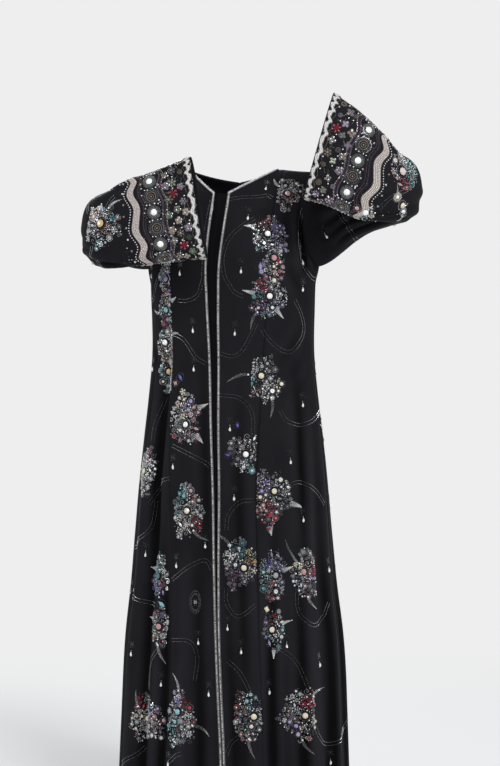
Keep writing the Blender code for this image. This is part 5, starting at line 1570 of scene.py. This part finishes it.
def front_trim(name, surface, side, materials):
    """Make a beaded edging 6 mm wide: a dark flat ribbon along the front edge and the neckline, and on it
    close cross bars between two rows of small beads."""
    point, normal, step = edge_path(surface)
    pitch, to_neckline = 0.0021, 1.36
    even = np.arange(0.0015, step[-1] - 0.0005, pitch)
    spine, out = (np.stack([np.interp(even, step, field[:, k]) for k in range(3)], axis=1)
                  for field in (point, normal))
    out = unit(out)
    way = unit(np.gradient(spine, axis=0))
    way = unit(np.stack([np.convolve(np.pad(way[:, k], 3, mode="edge"), np.ones(7) / 7, "valid")
                         for k in range(3)], axis=1))
    inward = unit(np.cross(way, out))
    inward *= np.sign(inward @ np.array([SIGN[side], 0, -0.6]))[:, None]
    neck = smooth_step((even - to_neckline) / 0.04)[:, None]
    base = spine + out * (0.0007 + 0.0013 * neck)
    across = np.array([0.0002, 0.0010, 0.0032, 0.0054, 0.0062])
    crown = 0.0006 * np.array([0, 1, 1.6, 1, 0])
    grid = base[:, None] + inward[:, None] * across[:, None] + out[:, None] * crown[:, None]
    points, faces = wall(grid, np.repeat(out[:, None], 5, axis=1), 0.0005)
    bag = Bag(name)
    bag.add(points, np.vstack([faces[:, :3], faces[:, [0, 2, 3]]]),
            np.tile(COLOURS["smoke"], (len(points), 1)), 2)
    rng = np.random.default_rng(40 + SIGN[side])
    count, share = len(even), even / even[-1]
    tone, painted_shade_tones = (rng.choice([COLOUR[name] for name in names.split()], count)
                  for names in ("white silver white blush white silver", "grey pewter taupe"))
    # more of the grey, pewter and taupe beads towards the hem: painted shade, darker low down
    tone = np.where(rng.uniform(size=count) < 0.62 + 0.36 * share, tone, painted_shade_tones)
    frame = np.cross(way, out), way, out
    bars = beads("bar", np.zeros(count), 0, 0.0010 + 0.0005 * share + rng.uniform(-0.0002, 0.0002, count),
                 0.00075, 0.0014, colour=tone)
    bag.set_beads(bars, base + inward * across[2] + out * 0.0007, *frame)
    for at in across[[1, 3]]:
        bag.set_beads(studs(size=0.0006, high=0.0010)(count), base + inward * at + out * 0.0003, *frame)
    bag.make(materials, replace=[f"front_trim_{side}"])


def wavy_band(name, surface, from_cuff, width, wave, waves, samples, form, thread, replaced, slot):
    """Make a wavy closed band round a sleeve, its middle at from_cuff + wave * sin.  form(share round,
    share across) gives its edges, its height in metres and its shade."""
    count = waves * samples
    turn = np.arange(count) / count
    across = np.linspace(-1, 1, 9)
    edge, high, shade = form(turn[None, :], across[:, None])
    distance = from_cuff + wave * np.sin(2 * math.pi * waves * turn)[None, :] - edge * width / 2
    rows = SLEEVE_ROWS - distance / sleeve_step(surface)
    point, normal, _, _ = surface.read(np.broadcast_to(turn * ROUND, rows.shape), rows)
    outer = point + normal * (0.0011 + high)[..., None]
    points, faces = wall(outer, normal, 0.0008, wrap=True)
    item = mesh_piece(name, points, faces, [thread], wall_tint(shade), slot, replace=[replaced])
    hang_sheet(outer, True)


def sleeve_step(surface):
    """Return the length of a sleeve's middle line for one row."""
    table = np.asarray(SECTIONS[surface.name[7:]], float)[:, :3]
    return np.linalg.norm(np.diff(table, axis=0), axis=1).sum() / 21


def lace(surface, side, thread):
    """Make the cuff lace: a braid whose two twisted strands swell and cross, with small loops along its
    two edges."""
    waves = 24

    def braid(turn, across):
        phase = 2 * math.pi * waves * turn
        edge = across * (1 + 0.24 * np.sign(across) * np.cos(2 * phase) + 0.04 * np.cos(6 * phase))
        strand = 0.46 * np.sin(phase + 0.6)
        gap = np.minimum(np.abs(across - strand), np.abs(across + strand))
        fine = 0.5 + 0.5 * np.cos(6 * phase + 5 * across)
        high = (0.0002 + 0.0016 * np.exp(-(gap / 0.30) ** 2) + 0.0003 * fine
                - 0.0004 * (np.abs(across) > 0.95))
        return edge, high, (1.0 - 0.86 * np.clip(gap * 2.3 - 0.40, 0, 1)) * (0.76 + 0.24 * fine)

    wavy_band(f"cuff_lace_{side}_braid", surface, 0.0082, 0.0100, 0.0028, waves, 20, braid, thread,
              f"cuff_lace_{side}", "white_lace")


# The tape's middle line: its way from the cuff, its swing and its number of waves.
TAPE_MIDDLE, TAPE_WAVE, TAPE_WAVES = 0.127, 0.0045, 8


def tape(surface, side, thread):
    """Make the rose tape: a ribbed wavy ribbon with a netted pattern and raised selvedges."""
    def ribs(turn, across):
        wave = np.cos(2 * math.pi * 88 * turn)
        selvedge = np.abs(across) > 0.8
        high = 0.0003 + 0.0003 * (0.5 + 0.5 * wave) * (np.abs(across) < 0.8) + 0.0004 * selvedge
        shade = np.where(selvedge, 0.78, 0.94 + 0.32 * (wave * np.cos(3 * math.pi * across)))
        return across + 0 * turn, high, shade

    wavy_band(f"sleeve_tape_{side}_ribbon", surface, TAPE_MIDDLE, 0.0135, TAPE_WAVE, TAPE_WAVES, 44, ribs,
              thread, f"sleeve_tape_{side}", "rose_tape")


# ---- the sleeves' beaded bands
# Rings of a sleeve's round motifs.  Columns: radius, beads, shape, half width, half length and colour.
WHEEL = ((0.0030, 8, "metal", 0.0010, None, "pewter"), (0.0053, 13, "seed", 0.0011, None, "taupe"),
         (0.0076, 19, "metal", 0.0010, None, "taupe"), (0.0099, 24, "seed", 0.0012, None, "taupe"),
         (0.0121, 32, "metal", 0.0010, None, "grey"), (0.0143, 42, "metal", 0.0011, None, "silver"),
         (0.0166, 36, "bugle", 0.0006, 0.0011, "pewter"), (0.0184, 50, "metal", 0.0009, None, "grey"))
# Wavy bead lines beside the round motifs.  Columns: distance from the cuff, colour, size.
WAVY_LINES = ((0.0655, "plum", 0.0010), (0.0676, "pewter", 0.0007), (0.0697, "plum", 0.0009),
              (0.0718, "mauve", 0.0009), (0.1080, "plum", 0.0009), (0.1103, "pewter", 0.0008),
              (0.1126, "plum", 0.0010), (0.1152, "taupe", 0.0008))
MOTIF_LINE, MOTIFS = 0.089, 13      # where the round motifs lie from the cuff, and how many there are
# Lines of flowers.  Columns: distance from the cuff, how many, and shift of the first in steps.
FLOWER_LINES = ((0.0270, 17, 0.0), (0.0430, 17, 0.5), (0.0580, 16, 0.15))


def sleeve_band(surface, bag, seed):
    """Sew the beading between the cuff lace and the elbow: flowers and pearls, wavy bead lines, a row of
    stones and discs, dots on the tape and a row of pearls past it."""
    rng = np.random.default_rng(seed)
    per_row = sleeve_step(surface)
    loop = surface.grid[int(17 * FINE)]
    run = lengths_along(np.vstack([loop, loop[:1]]))
    at = np.arange(len(run)) / FINE

    def row_at(distance):
        return SLEEVE_ROWS - distance / per_row

    def column_at(share):
        return np.interp(share % 1.0 * run[-1], run, at)

    def sew(column, row, *rows, turn=0.0):
        bag.sew(surface, column, row, np.vstack(rows), turn)

    def sprinkle(count, low, high, low_size, high_size, tones, shape):
        for _ in range(count):
            sew(rng.uniform(0, ROUND), row_at(rng.uniform(low, high)),
                beads(shape, 0, 0, rng.uniform(low_size, high_size), colour=pick(rng, tones)))

    line = row_at(MOTIF_LINE)
    for place in range(MOTIFS):
        column = column_at((place + 0.5) / MOTIFS)
        if place % 2 == 0:
            rows = [beads("pearl", 0, 0, 0.0016, colour="grey"), *(ring(*one) for one in WHEEL)]
        else:
            rows = [beads("stone", 0, 0, 0.0072, high=0.0044),
                    ring(0.0090, 26, "pearl", 0.0009, colour="grey", high=0.0014),
                    ring(0.0115, 26, "bar", 0.0007, 0.0015, "pewter", high=0.0012),
                    ring(0.0140, 36, "metal", 0.0011)]
        sew(column, line, *rows, turn=rng.uniform(0, 3))
        for _ in range(5):
            sew(column, line, beads(
                "pearl", rng.uniform(-0.024, 0.024), rng.choice([-1, 1]) * rng.uniform(0.0155, 0.0200),
                rng.uniform(0.0009, 0.0019), colour=pick(rng, "white silver cream grey")))
        for y in (-0.0125, 0.0125, -0.0050, 0.0060):
            sew(column_at((place + 1.0) / MOTIFS), line,
                beads("pearl", rng.uniform(-0.0015, 0.0015), y, rng.uniform(0.0010, 0.0017)))

    reds = REDS[surface.name[7:]]
    tones = "moss ash fawn heath sage fawn moss green heath ash mauve taupe"
    for number, (distance, count, shift) in enumerate(FLOWER_LINES):
        for k in range(count):
            column = column_at((k + shift + rng.uniform(-0.18, 0.18)) / count)
            size = rng.uniform(0.0074, 0.0098)
            tone = pick(rng, tones)
            kind = rng.integers(0, 5)
            if (number, k) in reds:
                made = np.vstack([button(0.0072, "red", "wine"),
                                  ring(0.0078, 6, "stone", 0.0024, colour="red", high=0.0012)])
            elif kind == 0:
                made = rosette(size * 1.15, tone, pick(rng, "grey taupe rose"), 6)
            elif kind == 1:
                made = button(size * 0.9, tone, "smoke")
            else:
                petals = int(rng.integers(4, 6))
                made = np.vstack([
                    ring(size * 0.56, petals, "stone", size * 0.40, size * 0.46, tone, high=0.0013),
                    ring(size * 0.98, petals, "metal", 0.0007, colour="pewter", start=0.5),
                    beads("seed", 0, 0, 0.0014, high=0.0022, colour=pick(rng, "smoke amber grey"))])
            row = row_at(distance + rng.uniform(-0.0022, 0.0022))
            sew(column, row, made, turn=rng.uniform(0, 6))
            if rng.uniform() < 0.55:
                sew(column, row, beads("pearl", size * 1.4, rng.uniform(-1, 1) * size, 0.0015))
            sprig = rng.uniform(0, 6)
            for n in range(3):
                sew(column, row, beads("navette", 0, -(size + 0.0022 + 0.0036 * n), 0.0010, 0.0022, 0.0012,
                                       0.5 * (-1) ** n, pick(rng, "green sage smoke")), turn=sprig)
    sprinkle(110, 0.019, 0.064, 0.0006, 0.0012, "green smoke pewter sage plum wine", "seed")
    sprinkle(40, 0.100, 0.119, 0.0006, 0.0012, "plum pewter grey", "seed")
    sprinkle(60, 0.0006, 0.0030, 0.0008, 0.0013, "grey rose aqua pewter silver", "seed")

    def wave_line(distance, swing, make, pitch, waves=TAPE_WAVES, count=400, start=0.0):
        turn = np.linspace(start, 1, count)
        rows = row_at(distance + swing * np.sin(2 * waves * math.pi * turn))
        bag.run(surface, turn * ROUND, rows, pitch, make)

    for distance, tone, size in WAVY_LINES:
        shape = "metal" if tone in ("pewter", "taupe") else "seed"
        wave_line(distance, 0.0034, studs(0, size, tone, shape), 0.0023)
    wave_line(0.0630, 0.0034, lambda count: beads(
        "bar", np.zeros(count), 0, 0.0008, 0.0022,
        colour=np.where(np.arange(count) % 3 == 0, COLOUR["grey"], COLOUR["taupe"])), 0.0058)
    wave_line(0.1392, TAPE_WAVE, studs(0, 0.0015, shape="pearl"), 0.0056)
    wave_line(0.1362, TAPE_WAVE, studs(0, 0.0007, "pewter"), 0.0026)
    for place in range(17):
        sew(column_at((place + 0.3) / 17), row_at(0.1475 + rng.uniform(-0.0015, 0.0015)),
            beads("pearl", 0, 0, 0.0023, colour=pick(rng, "grey silver taupe")),
            ring(0.0034, 9, "metal", 0.0007, colour="pewter"))
    dots, pitch = studs(0, 0.0011, "white", "seed", high=0.0011, lift=0.0014), 0.0031
    for shift, first in ((-0.0045, 0.0), (-0.0015, 0.5), (0.0015, 0.0), (0.0045, 0.5)):
        wave_line(TAPE_MIDDLE + shift, TAPE_WAVE, dots, pitch, count=500,
                  start=0.0001 + first * pitch / run[-1])
    for k in range(44):
        turn = (k + 0.5) / 44
        sew(turn * ROUND, row_at(0.0082 + 0.0026 * math.sin(2 * math.pi * 22 * turn)),
            beads("seed", 0, 0, 0.0009, high=0.0011, colour="white" if k % 2 else "grey", lift=0.0024))
    wave_line(0.0166, 0.0022, studs(0, 0.0008, "taupe", "pearl"), 0.0030, waves=22, count=300)
    sprinkle(46, 0.150, 0.172, 0.0008, 0.0013, "grey pewter lilac pewter", "metal")
    sprinkle(10, 0.152, 0.185, 0.0012, 0.0016, "silver", "pearl")


surfaces = build_surfaces()
build_stage()
crepe = crepe_material("crepe")
build_cloth(surfaces, crepe)
glass = bead_material("cut_glass", 0.16, 0.0, 0.6)
metal = bead_material("silvered_beads", 0.28, 0.85, 0.0)
pearl = bead_material("pearl_beads", 0.34, 0.0, 0.3)
braid = thread_material("lace_thread", (0.76, 0.745, 0.73), (0.50, 0.485, 0.475))
ribbon = thread_material("tape_thread", (0.30, 0.235, 0.215), (0.19, 0.145, 0.13))
bags = {f"{part}_{side}": Bag(f"beads_{part}_{side}")
        for part in ("front", "back", "sleeve") for side in SIGN}
sew_body_and_sleeves(surfaces, bags)
for side in SIGN:
    arm = surfaces["sleeve_" + side]
    lace(arm, side, braid)
    tape(arm, side, ribbon)
    sleeve_band(arm, bags["sleeve_" + side], 50 + SIGN[side])
    front_trim(f"trim_{side}_beads", surfaces["body_" + side], side, [glass, metal, pearl])
for bag in bags.values():
    bag.make([glass, metal, pearl])
